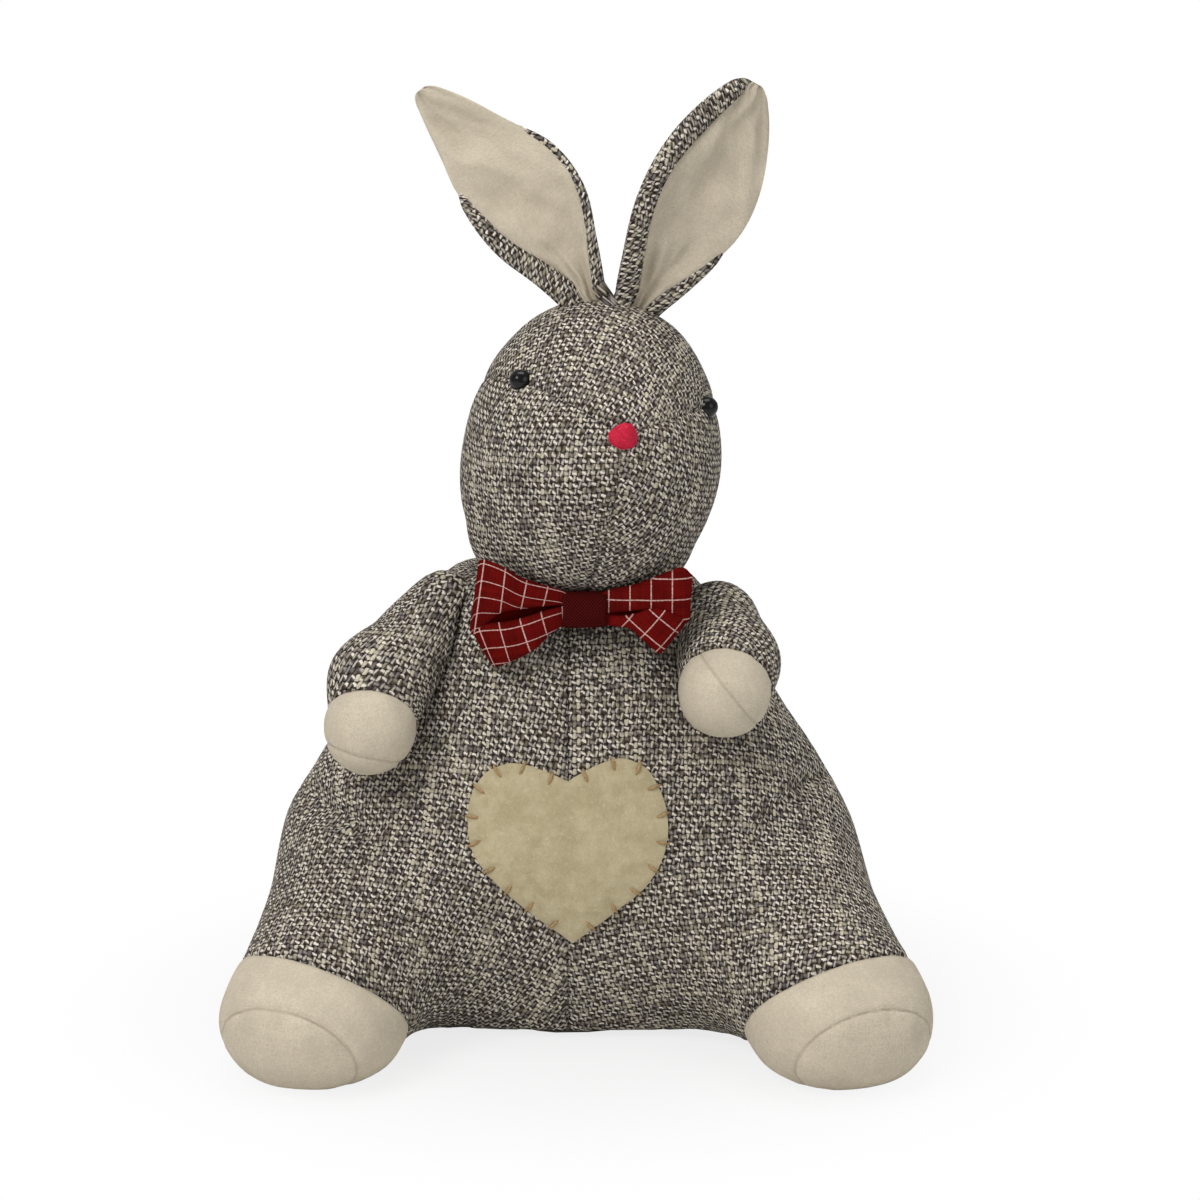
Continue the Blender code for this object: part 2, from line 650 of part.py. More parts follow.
def ear_sections(half_width, cup):
    """Cross-sections of the tweed back and of the lining, as (across, front) points."""

    def curve(across):
        return cup * (across / half_width) ** 2

    def lip(side, width):
        bed = side * (half_width - width)
        outer = (side * (half_width + EAR_TWEED / 2), curve(half_width))
        crest = (side * (half_width - width / 2), curve(half_width) + EAR_LINING)
        return [outer, crest, (bed, curve(bed) + EAR_LINING * 0.8)]

    broad = min(BROAD_LIP, 0.6 * half_width)
    thin = min(THIN_LIP, 0.3 * half_width)
    low, high = broad - half_width, half_width - thin
    back = [(a * half_width, curve(a * half_width) - EAR_TWEED) for a in np.linspace(-1.0, 1.0, 7)]
    floor = [(a, curve(a)) for a in np.linspace(high, low, 5)]
    tweed = back + lip(1, thin) + floor + lip(-1, broad)[::-1]
    bed = np.array(floor[::-1])
    margin = LINING_MARGIN / (bed[1, 0] - bed[0, 0])
    bed[0] += margin * (bed[1] - bed[0])
    bed[-1] += margin * (bed[-2] - bed[-1])
    under = [(a, b + SEAT_GAP) for a, b in bed]
    over = [(a, b + EAR_LINING * (0.7 + 0.3 * (0 < i < 4))) for i, (a, b) in enumerate(under)]
    return tweed, under + over[::-1]


def make_ear(side_name, root_x, tip, facing, bend, widths):
    """Tweed back and cream lining of one ear, seated on the crown."""
    crown = Vector(HEAD_CENTRE) + head_turn() @ Vector((root_x, EAR_ROOT_BACK, CROWN_CENTRE[2]))
    up = head_turn() @ Vector((0.0, 0.0, 1.0))
    root = Vector(rays_out(head_field, np.array(crown), np.array([up]))[0])
    along, across, front = ear_frame(root, tip, facing)
    length = (Vector(tip) - root).length
    backs, linings = [], []
    for share in np.linspace(0.0, 1.0, EAR_STATIONS):
        half_width = float(interpolated(widths, share)[0])
        cup = float(interpolated(EAR_CUPS, share)[0])
        middle = root + along * (length * share) + across * bend * 4.0 * share * (1.0 - share)
        for rings, section in zip((backs, linings), ear_sections(half_width, cup)):
            rings.append(np.array([middle + across * a + front * b for a, b in section]))
    for rings in (backs, linings):
        start = rings[0] + np.array(along) * EAR_ROOT_LIFT
        rings[0] = drop_onto(head_field, start, -np.array(along), SEAT_GAP)
    add_object("ear_back_" + side_name, closed_loft(backs), "tweed")
    add_object("ear_lining_" + side_name, closed_loft(linings), "cream_cotton")


# Bow tie


def bow_rings(middle):
    """The bow's cloth as rings of points from one end to the other."""
    rings = []
    for along, top, bottom, half_depth, crease in BOW_RINGS:
        ring = []
        for i in range(BOW_POINTS):
            angle = 2.0 * math.pi * i / BOW_POINTS
            pinch = 1.0 - crease * math.exp(-((math.sin(angle) / CREASE_SHARE) ** 2))
            depth = math.cos(angle) * half_depth * pinch
            height = (top + bottom) / 2.0 + math.sin(angle) * (top - bottom) / 2.0
            ring.append(middle + Vector((along, -depth, height)))
        rings.append(ring)
    return rings


def band_rings(middle):
    """The knot band as rings of points: its inner face, then its outer face, and their edges."""
    inner_height = KNOT_HALF_HEIGHT + KNOT_CLEARANCE
    inner_depth = KNOT_HALF_DEPTH + KNOT_CLEARANCE
    rings = []
    for x, extra in ((-1, 0.0), (1, 0.0), (1, KNOT_BAND), (-1, KNOT_BAND)):
        ring = []
        for i in range(BOW_POINTS):
            angle = 2.0 * math.pi * i / BOW_POINTS
            depth = math.cos(angle) * (inner_depth + extra)
            height = math.sin(angle) * (inner_height + extra)
            ring.append(middle + Vector((x * KNOT_HALF_WIDTH, -depth, height)))
        rings.append(ring)
    return rings


def make_bow():
    """The bow's one folded cloth and the knot band round its middle, set back until one of them is seated."""
    start = Vector((BOW_X, BOW_START_Y, BOW_HEIGHT))
    points = np.array([point for ring in bow_rings(start) + band_rings(start) for point in ring])
    seated = drop_onto(lambda p: np.minimum(torso_field(p), head_field(p)), points, (0.0, 1.0, 0.0), SEAT_GAP)
    middle = start + Vector((0.0, (seated - points)[:, 1].min(), 0.0))
    add_object("bow_tie", closed_loft(bow_rings(middle)), "red_check")
    band = bmesh.new()
    loops = [[band.verts.new(point) for point in ring] for ring in band_rings(middle)]
    for first, second in zip(loops, loops[1:] + loops[:1]):
        for i in range(BOW_POINTS):
            j = (i + 1) % BOW_POINTS
            band.faces.new((first[i], first[j], second[j], second[i]))
    add_object("bow_knot", face_outwards(band), "knot_red")


# Heart patch


def heart_outline(count):
    """Points of a heart, each axis from -1 to 1, starting at the dip and running round."""
    points = []
    for i in range(count):
        t = 2.0 * math.pi * i / count
        x = math.sin(t) ** 3
        y = (13 * math.cos(t) - 5 * math.cos(2 * t) - 2 * math.cos(3 * t) - math.cos(4 * t)) / 14.5 + 0.18
        if math.cos(t) > 0.0:
            y += HEART_NOTCH[0] * math.exp(-((x / HEART_NOTCH[1]) ** 2))
        points.append((x, y))
    return points


def on_belly(flat_points, gap):
    """Points of the front view laid on the belly, that far off the cover."""
    starts = np.array([(HEART_X + x, HEART_START_Y, HEART_HEIGHT + z) for x, z in flat_points])
    return drop_onto(torso_field, starts, (0.0, 1.0, 0.0), gap)


def make_heart():
    """Felt patch and the stitches over its edge."""
    outline = [(x * HEART_WIDTH / 2, y * HEART_TALL / 2) for x, y in heart_outline(HEART_POINTS)]
    patch = bmesh.new()
    faces = []
    for gap in (SEAT_GAP + FELT, SEAT_GAP):
        rows = []
        for ring in range(HEART_RINGS, 0, -1):
            share = ring / HEART_RINGS
            rows.append([patch.verts.new(p) for p in on_belly([(x * share, y * share) for x, y in outline], gap)])
        rows.append([patch.verts.new(on_belly([(0.0, 0.0)], gap)[0])])
        faces.append(rows)
    for rows in faces:
        for outer, inner in zip(rows, rows[1:]):
            for i in range(HEART_POINTS):
                j = (i + 1) % HEART_POINTS
                if len(inner) == 1:
                    patch.faces.new((outer[i], outer[j], inner[0]))
                else:
                    patch.faces.new((outer[i], outer[j], inner[j], inner[i]))
    for i in range(HEART_POINTS):
        j = (i + 1) % HEART_POINTS
        patch.faces.new((faces[0][0][i], faces[0][0][j], faces[1][0][j], faces[1][0][i]))
    add_object("heart_patch", face_outwards(patch), "felt")


def make_stitches():
    """Straight stitches of thread over the patch's edge."""
    fine = heart_outline(STITCHES_PER_SIDE * 40)
    outline = np.array([(x * HEART_WIDTH / 2, z * HEART_TALL / 2) for x, z in fine])
    steps = np.linalg.norm(np.roll(outline, -1, axis=0) - outline, axis=1)
    run = np.concatenate([[0.0], np.cumsum(steps)[:-1]])
    shares = np.linspace(*STITCH_SPAN, STITCHES_PER_SIDE) / 2.0
    for number, share in enumerate([*shares, *(1.0 - shares)]):
        at = int(np.searchsorted(run, share * steps.sum())) % len(outline)
        tangent = outline[(at + 2) % len(outline)] - outline[at - 2]
        tangent /= np.linalg.norm(tangent)
        outward = np.array((-tangent[1], tangent[0]))
        outward *= np.sign(outward @ outline[at]) or 1.0
        corners = []
        for out, across in ((1, -1), (1, 1), (-1, 1), (-1, -1)):
            reach = STITCH_OVERHANG if out > 0 else STITCH_OVERHANG - STITCH_LENGTH
            corners.append(outline[at] + outward * reach + tangent * across * STITCH_WIDTH / 2)
        low = SEAT_GAP + FELT + SEAM_GAP
        stitch = bmesh.new()
        rows = [[stitch.verts.new(p) for p in on_belly(corners, gap)] for gap in (low + STITCH_WIDTH, low)]
        stitch.faces.new(rows[0])
        stitch.faces.new(list(reversed(rows[1])))
        for i in range(4):
            j = (i + 1) % 4
            stitch.faces.new((rows[0][j], rows[0][i], rows[1][i], rows[1][j]))
        add_object(f"patch_stitch_{number + 1:02d}", face_outwards(stitch), "thread", flat=True)


def main():
    for item in list(bpy.data.objects):
        bpy.data.objects.remove(item)
    make_torso()
    make_feet()
    make_head()
    make_face()
    make_arm("right", RIGHT_SHOULDER, RIGHT_ELBOW, RIGHT_WRIST)
    make_arm("left", LEFT_SHOULDER, LEFT_ELBOW, LEFT_WRIST)
    make_ear("right", RIGHT_EAR_ROOT, RIGHT_EAR_TIP, RIGHT_EAR_FACING, RIGHT_EAR_BEND, RIGHT_EAR_WIDTHS)
    make_ear("left", LEFT_EAR_ROOT, LEFT_EAR_TIP, LEFT_EAR_FACING, LEFT_EAR_BEND, LEFT_EAR_WIDTHS)
    make_bow()
    make_heart()
    make_stitches()


main()
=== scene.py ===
"""Rabbit door stop: what shows of it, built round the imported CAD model. Metres, +Z up, facing -Y."""

import json
import math

import bmesh
import bpy
import numpy as np
from mathutils import Matrix, Vector, kdtree, noise


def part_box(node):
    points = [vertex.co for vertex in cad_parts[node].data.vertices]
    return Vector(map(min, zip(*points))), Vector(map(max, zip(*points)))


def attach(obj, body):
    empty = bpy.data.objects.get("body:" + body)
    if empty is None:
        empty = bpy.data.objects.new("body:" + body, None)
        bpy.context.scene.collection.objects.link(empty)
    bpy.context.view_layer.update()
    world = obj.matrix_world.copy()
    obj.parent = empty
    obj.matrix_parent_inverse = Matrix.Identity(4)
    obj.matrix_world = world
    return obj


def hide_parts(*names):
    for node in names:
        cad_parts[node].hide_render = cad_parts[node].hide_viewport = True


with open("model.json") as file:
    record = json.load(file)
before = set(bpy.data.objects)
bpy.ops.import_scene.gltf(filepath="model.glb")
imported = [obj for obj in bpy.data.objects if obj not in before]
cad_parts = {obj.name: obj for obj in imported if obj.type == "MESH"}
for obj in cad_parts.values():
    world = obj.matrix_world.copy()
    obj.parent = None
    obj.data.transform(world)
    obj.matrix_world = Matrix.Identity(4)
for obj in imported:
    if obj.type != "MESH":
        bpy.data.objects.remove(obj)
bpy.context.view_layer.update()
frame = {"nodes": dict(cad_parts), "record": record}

# Shapes, as in the CAD source
SEAT_GAP = 0.0005
ARM_GAP = 0.0007
TWEED = 0.0018
BASE_CLOTH = 0.0020
TORSO_CENTRE = (0.0, 0.020, 0.055)
BELLY_CENTRE = (-0.0015, 0.006, 0.062)
BELLY_RADII = (0.0880, 0.061, 0.088)
CHEST_CENTRE = (-0.0035, 0.010, 0.113)
CHEST_RADII = (0.0585, 0.044, 0.062)
CHEST_BLEND = 0.020
RIGHT_HIP = (-0.066, -0.008, 0.052)
LEFT_HIP = (0.0615, -0.012, 0.046)
HIP_RADIUS = 0.0360
ANKLE = (0.0870, -0.0620, 0.0230)
ANKLE_RADIUS = 0.0305
LEG_BLEND = 0.038
FLOOR_ROUNDING = 0.006
NECK_HEIGHT = 0.1590
NECK_ROUNDING = 0.004
MIDDLE_SEAM_X = -0.0030
SIDE_SEAM_Y = 0.004
SEAM_DIP = 0.0006
SEAM_SPREAD = 0.0045
ANKLE_FACING = (0.371, -0.547, -0.749)
FOOT_CENTRE = (0.0900, -0.0770, 0.0205)
FOOT_RADII = (0.0315, 0.0315, 0.0245)
FOOT_BLEND = 0.008
SOLE_FACING = (0.35, -0.80, -0.49)
SOLE_SEAM = 0.0180
HEAD_CENTRE = (0.0044, -0.0040, 0.1980)
HEAD_YAW = 9.0
HEAD_ROLL = 10.0
SKULL = ((0.0, 0.000, -0.008), (0.0430, 0.0440, 0.0480))
CROWN = ((0.0, 0.002, 0.012), (0.0420, 0.0415, 0.0455))
CROWN_BLEND = 0.012
MUZZLE = ((0.0, -0.025, 0.006), (0.0240, 0.0280, 0.0230))
MUZZLE_BLEND = 0.028
EYE_SIDE = 57.0
EYE_UP = 37.0
NOSE_UP = 21.5
ARM_RADII = (0.0150, 0.0160, 0.0150)
ARMS = {
    "right": ((-0.0455, -0.004, 0.1450), (-0.068, -0.031, 0.127), (-0.070, -0.043, 0.118)),
    "left": ((0.0485, -0.010, 0.1425), (0.0525, -0.029, 0.1330), (0.051, -0.041, 0.129)),
}
PAW_REACH = 0.004
PAW_RADII = (0.0160, 0.0175, 0.0155)
LIMB_ROUNDING = 0.002

# Cloth
TWEED_PITCHES = (0.00150, 0.00205)  # from thread to thread, across the cloth and up it
COTTON_PITCHES = (0.00056, 0.00056)
CHECK_PITCHES = (0.00045, 0.00045)
CHECK_SPACING = 0.0072
COTTON = 0.0010
MAP_NAME = "cloth"  # the map that lays each weave on its piece, in metres
SEAM_NAME = "seam"  # 1 on a seam and 0 away from it

# Seams: a narrow valley, with the cloth gathered a little on both sides of it
VALLEY_WIDTH = 0.0011
SEAM_LINE = 0.0009  # how wide the dark line of thread is
GATHER_HEIGHT = 0.00045
GATHER_REACH = 0.0055
GATHER_LENGTH = 0.0042
NEAR_SEAM = 0.0045  # how far from a seam a panel's mesh is finer

# Depth of the valley and strength of the gathers
TORSO_SEAMS = (0.0011, 0.9)
HEAD_SEAMS = (0.0006, 0.35)
LIMB_SEAMS = (0.0005, 0.9)

# Unevenness of the stuffing: size and height
LUMPS = (0.020, 0.0007)
SMALL_LUMPS = (0.012, 0.0003)
TORSO_SEED = 3.0
HEAD_SEED = 5.0
LIMB_SEED = 7.0

RAY_STEPS = 90
RAY_REACH = 0.25
HALVINGS = 22
TOUCHING = 1e-7  # points that close are one
SHARP_ANGLE = math.radians(60.0)


# Fields: negative inside a form, and growing with the distance outside it


def ellipsoid(points, centre, radii):
    """Field of an ellipsoid."""
    scaled = (points - np.array(centre)) / np.array(radii)
    length = np.linalg.norm(scaled, axis=1)
    slope = np.linalg.norm(scaled / np.array(radii), axis=1)
    return length * (length - 1.0) / np.maximum(slope, 1e-9)


def round_cone(points, start, end, start_radius, end_radius):
    """Field of a stick with round ends of two radii."""
    start = np.array(start)
    along = np.array(end) - start
    share = np.clip((points - start) @ along / (along @ along), 0.0, 1.0)
    nearest = start + share[:, None] * along
    radius = start_radius + share * (end_radius - start_radius)
    return np.linalg.norm(points - nearest, axis=1) - radius


def blended(first, second, radius):
    """Union of two fields, with a fillet of about that radius."""
    mix = np.clip(0.5 + 0.5 * (second - first) / radius, 0.0, 1.0)
    return second + mix * (first - second) - radius * mix * (1.0 - mix)


def trimmed(field, limit, radius):
    """The part of a field that is also inside a limit, with a rounded edge."""
    return -blended(-field, -limit, radius)


def dip(distance, depth, spread):
    """Soft groove, by the distance from its bottom."""
    return depth * np.exp(-((distance / spread) ** 2))


def on_side(values, side):
    """The left side's point or direction, mirrored for side -1."""
    return Vector((values[0] * side, values[1], values[2]))


def leg_field(points, side):
    """Leg on side -1 or 1, with a round end past the ankle."""
    hip = LEFT_HIP if side > 0 else RIGHT_HIP
    return round_cone(points, hip, on_side(ANKLE, side), HIP_RADIUS, ANKLE_RADIUS)


# Folds in the torso's cloth: start, end, depth and width
TORSO_FOLDS = (
    ((0.098, -0.020, 0.084), (0.066, -0.044, 0.074), 0.0024, 0.0060),
    ((-0.098, -0.020, 0.084), (-0.070, -0.040, 0.078), 0.0026, 0.0060),
    ((-0.012, -0.060, 0.022), (-0.052, -0.060, 0.034), 0.0014, 0.0055),
    ((0.012, -0.060, 0.020), (0.050, -0.060, 0.030), 0.0014, 0.0055),
    ((0.028, -0.052, 0.040), (0.070, -0.050, 0.052), 0.0010, 0.0060),
    ((-0.030, -0.052, 0.042), (-0.074, -0.048, 0.058), 0.0010, 0.0060),
    ((0.060, -0.040, 0.112), (0.078, -0.020, 0.090), 0.0012, 0.0060),
    ((-0.058, -0.040, 0.112), (-0.078, -0.020, 0.096), 0.0012, 0.0060),
    ((-0.040, 0.056, 0.030), (0.045, 0.058, 0.024), 0.0016, 0.0075),
    ((-0.066, 0.040, 0.060), (-0.030, 0.062, 0.078), 0.0012, 0.0080),
    ((0.070, 0.038, 0.055), (0.036, 0.062, 0.070), 0.0012, 0.0080),
)

# Narrow creases, which only the cover's cloth has: over each hip, and beside the heart's point
TORSO_CREASES = (
    ((0.0890, -0.0040, 0.0895), (0.0684, -0.0391, 0.0828), 0.0040, 0.0030),
    ((0.0684, -0.0391, 0.0828), (0.0610, -0.0460, 0.0770), 0.0014, 0.0032),
    ((-0.0990, -0.0065, 0.0835), (-0.0783, -0.0407, 0.0783), 0.0040, 0.0030),
    ((-0.0783, -0.0407, 0.0783), (-0.0710, -0.0480, 0.0745), 0.0014, 0.0032),
    ((-0.0420, -0.0560, 0.0560), (-0.0300, -0.0560, 0.0440), 0.0014, 0.0035),
)


def torso_field(points):
    """Torso and legs, flat on the floor and flat where the head is sewn on."""
    belly = ellipsoid(points, BELLY_CENTRE, BELLY_RADII)
    chest = ellipsoid(points, CHEST_CENTRE, CHEST_RADII)
    body = blended(belly, chest, CHEST_BLEND)
    for side in (-1, 1):
        body = blended(body, leg_field(points, side), LEG_BLEND)
    for start, end, depth, width in TORSO_FOLDS + TORSO_CREASES:
        body = body + dip(round_cone(points, start, end, 0.0, 0.0), depth, width)
    body = body + dip(points[:, 1] - SIDE_SEAM_Y, SEAM_DIP, SEAM_SPREAD)
    front = points[:, 1] < SIDE_SEAM_Y
    body = body + np.where(front, dip(points[:, 0] - MIDDLE_SEAM_X, SEAM_DIP, SEAM_SPREAD), 0.0)
    body = trimmed(body, points[:, 2] - (NECK_HEIGHT - SEAT_GAP), NECK_ROUNDING)
    return trimmed(body, -points[:, 2], FLOOR_ROUNDING)


def head_turn():
    """Rotation of the head, from facing -Y to its place."""
    yaw = Matrix.Rotation(math.radians(HEAD_YAW), 3, "Z")
    roll = Matrix.Rotation(math.radians(HEAD_ROLL), 3, "Y")
    return yaw @ roll


def head_direction(side_degrees, up_degrees):
    """Direction from the head's centre, turned with the head."""
    side, up = math.radians(side_degrees), math.radians(up_degrees)
    return head_turn() @ Vector((math.sin(side) * math.cos(up), -math.cos(side) * math.cos(up), math.sin(up)))


def head_planes():
    """Normals of the head's seam planes: left and right of the gusset, towards the sides, and the middle."""
    nose = head_direction(0.0, NOSE_UP)
    left = head_direction(EYE_SIDE, EYE_UP).cross(nose).normalized()
    right = nose.cross(head_direction(-EYE_SIDE, EYE_UP)).normalized()
    return left, right, head_turn() @ Vector((1.0, 0.0, 0.0))


def off_head_seams(points):
    """How far points are off the gusset's two seams and the seam under the nose, which ends at the gusset."""
    left, right, middle = (np.array(normal) for normal in head_planes())
    offsets = points - np.array(HEAD_CENTRE)
    off_left, off_right = offsets @ left, offsets @ right
    off_middle = np.where(np.maximum(off_left, off_right) > 0.0, offsets @ middle, 1.0)
    return off_left, off_right, off_middle


def head_field(points):
    """Head with its muzzle, flat where it is sewn to the torso."""
    local = (points - np.array(HEAD_CENTRE)) @ np.array(head_turn())
    head = blended(ellipsoid(local, *SKULL), ellipsoid(local, *CROWN), CROWN_BLEND)
    head = blended(head, ellipsoid(local, *MUZZLE), MUZZLE_BLEND)
    for off_seam in off_head_seams(points):
        head = head + dip(off_seam, SEAM_DIP, SEAM_SPREAD)
    return trimmed(head, NECK_HEIGHT - points[:, 2], NECK_ROUNDING)


def rays_out(field, origins, directions, reach=RAY_REACH, steps=RAY_STEPS):
    """First point on each ray, from inside a form, where the field turns positive."""
    origins = np.broadcast_to(origins, directions.shape)
    near = np.zeros(len(directions))
    far = np.full(len(directions), reach)
    searching = np.arange(len(directions))
    for step in np.linspace(0.0, reach, steps)[1:]:
        outside = field(origins[searching] + step * directions[searching]) > 0.0
        far[searching[outside]] = step
        searching = searching[~outside]
        near[searching] = step
        if not len(searching):
            break
    for _ in range(HALVINGS):
        middle = 0.5 * (near + far)
        outside = field(origins + middle[:, None] * directions) > 0.0
        far = np.where(outside, middle, far)
        near = np.where(outside, near, middle)
    return origins + (0.5 * (near + far))[:, None] * directions


def drop_onto(field, points, direction, gap):
    """Moves points, from outside, along a direction until they are that gap off the field's surface."""
    toward = np.broadcast_to(np.array(direction, float), points.shape)
    return rays_out(lambda p: gap - field(p), points, toward)


def normals_of(field, points):
    """Outward unit normals of a field at points."""
    slopes = np.empty_like(points)
    for axis in range(3):
        step = np.zeros(3)
        step[axis] = 1e-4
        slopes[:, axis] = field(points + step) - field(points - step)
    return slopes / np.linalg.norm(slopes, axis=1)[:, None]


# Meshes


def sphere_on(field, centre, fineness):
    """A round mesh drawn onto a field's surface along rays from its centre."""
    mesh = bmesh.new()
    bmesh.ops.create_icosphere(mesh, subdivisions=fineness, radius=1.0, matrix=Matrix.Translation(centre))
    offsets = places_of(mesh) - np.array(centre)
    directions = offsets / np.linalg.norm(offsets, axis=1)[:, None]
    place_all(mesh, rays_out(field, np.array(centre), directions))
    return mesh


def places_of(mesh):
    """Every vertex's place as an array."""
    return np.array([vertex.co for vertex in mesh.verts])


def place_all(mesh, places):
    """Puts every vertex at its place."""
    for vertex, place in zip(mesh.verts, places.tolist()):
        vertex.co = place


def cut(mesh, point, normal, solid=False):
    """Removes what lies on the side that the normal points to, and closes a solid with a flat face."""
    everything = mesh.verts[:] + mesh.edges[:] + mesh.faces[:]
    plane = {"plane_co": point, "plane_no": normal}
    bmesh.ops.bisect_plane(mesh, geom=everything, dist=TOUCHING, clear_outer=True, **plane)
    if solid:
        rim = [edge for edge in mesh.edges if edge.is_boundary]
        bmesh.ops.holes_fill(mesh, edges=rim, sides=0)
    return mesh


def within(directions, points, planes):
    """Directions turned to run along each plane that their point lies on."""
    for _ in range(2):
        for place, normal in planes:
            normal = np.array(normal)
            on_plane = np.abs((points - np.array(place)) @ normal) < 2e-6
            across = directions[on_plane] @ normal
            directions[on_plane] -= across[:, None] * normal
            directions[on_plane] /= np.linalg.norm(directions[on_plane], axis=1)[:, None]
    return directions


def refine(mesh, near=None):
    """Splits every edge, or those whose middle passes the test, and leaves triangles."""
    edges = mesh.edges[:]
    if near:
        middles = np.array([(e.verts[0].co + e.verts[1].co) * 0.5 for e in edges])
        edges = [edge for edge, chosen in zip(edges, near(middles)) if chosen]
    bmesh.ops.subdivide_edges(mesh, edges=edges, cuts=1, use_grid_fill=True)
    bmesh.ops.triangulate(mesh, faces=mesh.faces[:])


def slit_open(mesh, point, normal, facing):
    """Splits a panel's edges along the part of a plane that lies on the facing side of the point."""
    everything = mesh.verts[:] + mesh.edges[:] + mesh.faces[:]
    bmesh.ops.bisect_plane(mesh, geom=everything, dist=TOUCHING, plane_co=point, plane_no=normal)
    point, normal, facing = Vector(point), Vector(normal), Vector(facing)

    def on_slit(vertex):
        offset = vertex.co - point
        return abs(offset.dot(normal)) < 1e-6 and offset.dot(facing) > 0.0

    edges = [edge for edge in mesh.edges if all(on_slit(vertex) for vertex in edge.verts)]
    bmesh.ops.split_edges(mesh, edges=edges)


def unwrap(mesh, slit=None):
    """Lays an open panel flat, to scale in metres, with its map's second axis up the panel."""
    if slit:
        slit_open(mesh, *slit)
    bmesh.ops.triangulate(mesh, faces=mesh.faces[:])
    data = bpy.data.meshes.new("unwrapping")
    mesh.to_mesh(data)
    item = bpy.data.objects.new("unwrapping", data)
    bpy.context.scene.collection.objects.link(item)
    data.uv_layers.new(name=MAP_NAME)
    bpy.context.view_layer.objects.active = item
    item.select_set(True)
    bpy.ops.object.mode_set(mode="EDIT")
    bpy.ops.mesh.select_all(action="SELECT")
    bpy.ops.uv.unwrap(method="MINIMUM_STRETCH", iterations=12, margin=0.0)
    bpy.ops.object.mode_set(mode="OBJECT")
    flat = np.empty(len(data.loops) * 2, np.float32)
    data.uv_layers[MAP_NAME].uv.foreach_get("vector", flat)
    flat = flat.reshape(-1, 2)
    verts = np.array([v.co for v in data.vertices])[[loop.vertex_index for loop in data.loops]]
    corners = flat.reshape(-1, 3, 2)
    sides = verts.reshape(-1, 3, 3)
    flat_edges = corners[:, 1:] - corners[:, :1]
    flat_area = 0.5 * np.abs(np.linalg.det(flat_edges)).sum()
    real_edges = sides[:, 1:] - sides[:, :1]
    real_area = 0.5 * np.linalg.norm(np.cross(real_edges[:, 0], real_edges[:, 1]), axis=1).sum()
    flat = (flat - flat.mean(axis=0)) * math.sqrt(real_area / flat_area)
    middle = np.abs(flat - np.median(flat, axis=0)).sum(axis=1) < np.median(np.abs(flat).sum(axis=1))
    fit = np.linalg.lstsq(flat[middle], verts[middle, 2] - verts[middle, 2].mean(), rcond=None)[0]
    up = fit / np.linalg.norm(fit)
    flat = np.stack([flat @ np.array((up[1], -up[0])), flat @ up], axis=1)
    data.uv_layers[MAP_NAME].uv.foreach_set("vector", flat.astype(np.float32).ravel())
    result = bmesh.new()
    result.from_mesh(data)
    bpy.data.objects.remove(item)
    mesh.free()
    bmesh.ops.remove_doubles(result, verts=result.verts[:], dist=TOUCHING)
    return result


def settled(points, field, planes, rim):
    """Points moved onto the field's surface, the rim's along the planes that it was cut at."""
    for _ in range(4):
        normals = normals_of(field, points)
        if rim.any():
            normals[rim] = within(normals[rim], points[rim], planes)
        points = points - normals * np.clip(field(points), -0.003, 0.003)[:, None]
    return points


def gathered(points, rim, valley_depth, strength):
    """How far each point of a piece stands off its form, for the valley and the gathers along its seams."""
    tree = kdtree.KDTree(int(rim.sum()))
    for index, place in enumerate(points[rim]):
        tree.insert(place, index)
    tree.balance()
    offsets, distances = np.empty(len(points)), np.empty(len(points))
    for index, place in enumerate(points):
        nearest, _, distance = tree.find(place)
        distances[index] = distance
        valley = -valley_depth * math.exp(-((distance / VALLEY_WIDTH) ** 2))
        wave = noise.noise(nearest / GATHER_LENGTH) + 0.35 * noise.noise(nearest / (GATHER_LENGTH * 0.45))
        gather = GATHER_HEIGHT * wave * math.exp(-((distance / GATHER_REACH) ** 2)) * strength
        offsets[index] = valley + gather
    return offsets, distances


def lumps(points, size, height, seed):
    """Soft unevenness of the stuffing."""
    shift = Vector((seed, seed * 1.7, -seed))
    return height * np.array([noise.noise(Vector(place) / size + shift) for place in points])


def closed_back(mesh, inner):
    """Gives an open sheet its inner face and the edges between them."""
    outer = mesh.verts[:]
    loops = [edge.link_loops[0] for edge in mesh.edges if edge.is_boundary]
    layer = mesh.loops.layers.uv.active
    partner = {vertex: mesh.verts.new(place) for vertex, place in zip(outer, inner.tolist())}
    faces = mesh.faces[:]
    for loop in loops:
        after = loop.link_loop_next
        corners = (after, loop, loop, after)
        verts = (after.vert, loop.vert, partner[loop.vert], partner[after.vert])
        face = mesh.faces.new(verts)
        for made, source in zip(face.loops, corners):
            made[layer].uv = source[layer].uv
    for face in faces:
        sources = list(reversed(face.loops))
        made_face = mesh.faces.new([partner[loop.vert] for loop in sources])
        for made, source in zip(made_face.loops, sources):
            made[layer].uv = source[layer].uv
    return mesh


def face_outward(mesh):
    """Turns a closed mesh's faces to its outside."""
    bmesh.ops.recalc_face_normals(mesh, faces=mesh.faces[:])
    if mesh.calc_volume(signed=True) < 0.0:
        bmesh.ops.reverse_faces(mesh, faces=mesh.faces[:])


def add_piece(name, mesh, slot, nodes):
    """Puts a finished mesh in the scene as a piece on the one body, in place of some CAD nodes."""
    data = bpy.data.meshes.new(name)
    mesh.to_mesh(data)
    mesh.free()
    data.shade_smooth()
    data.set_sharp_from_angle(angle=SHARP_ANGLE)
    data.materials.append(MATERIALS[slot])
    piece = bpy.data.objects.new(name, data)
    bpy.context.scene.collection.objects.link(piece)
    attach(piece, "root")
    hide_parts(*nodes)


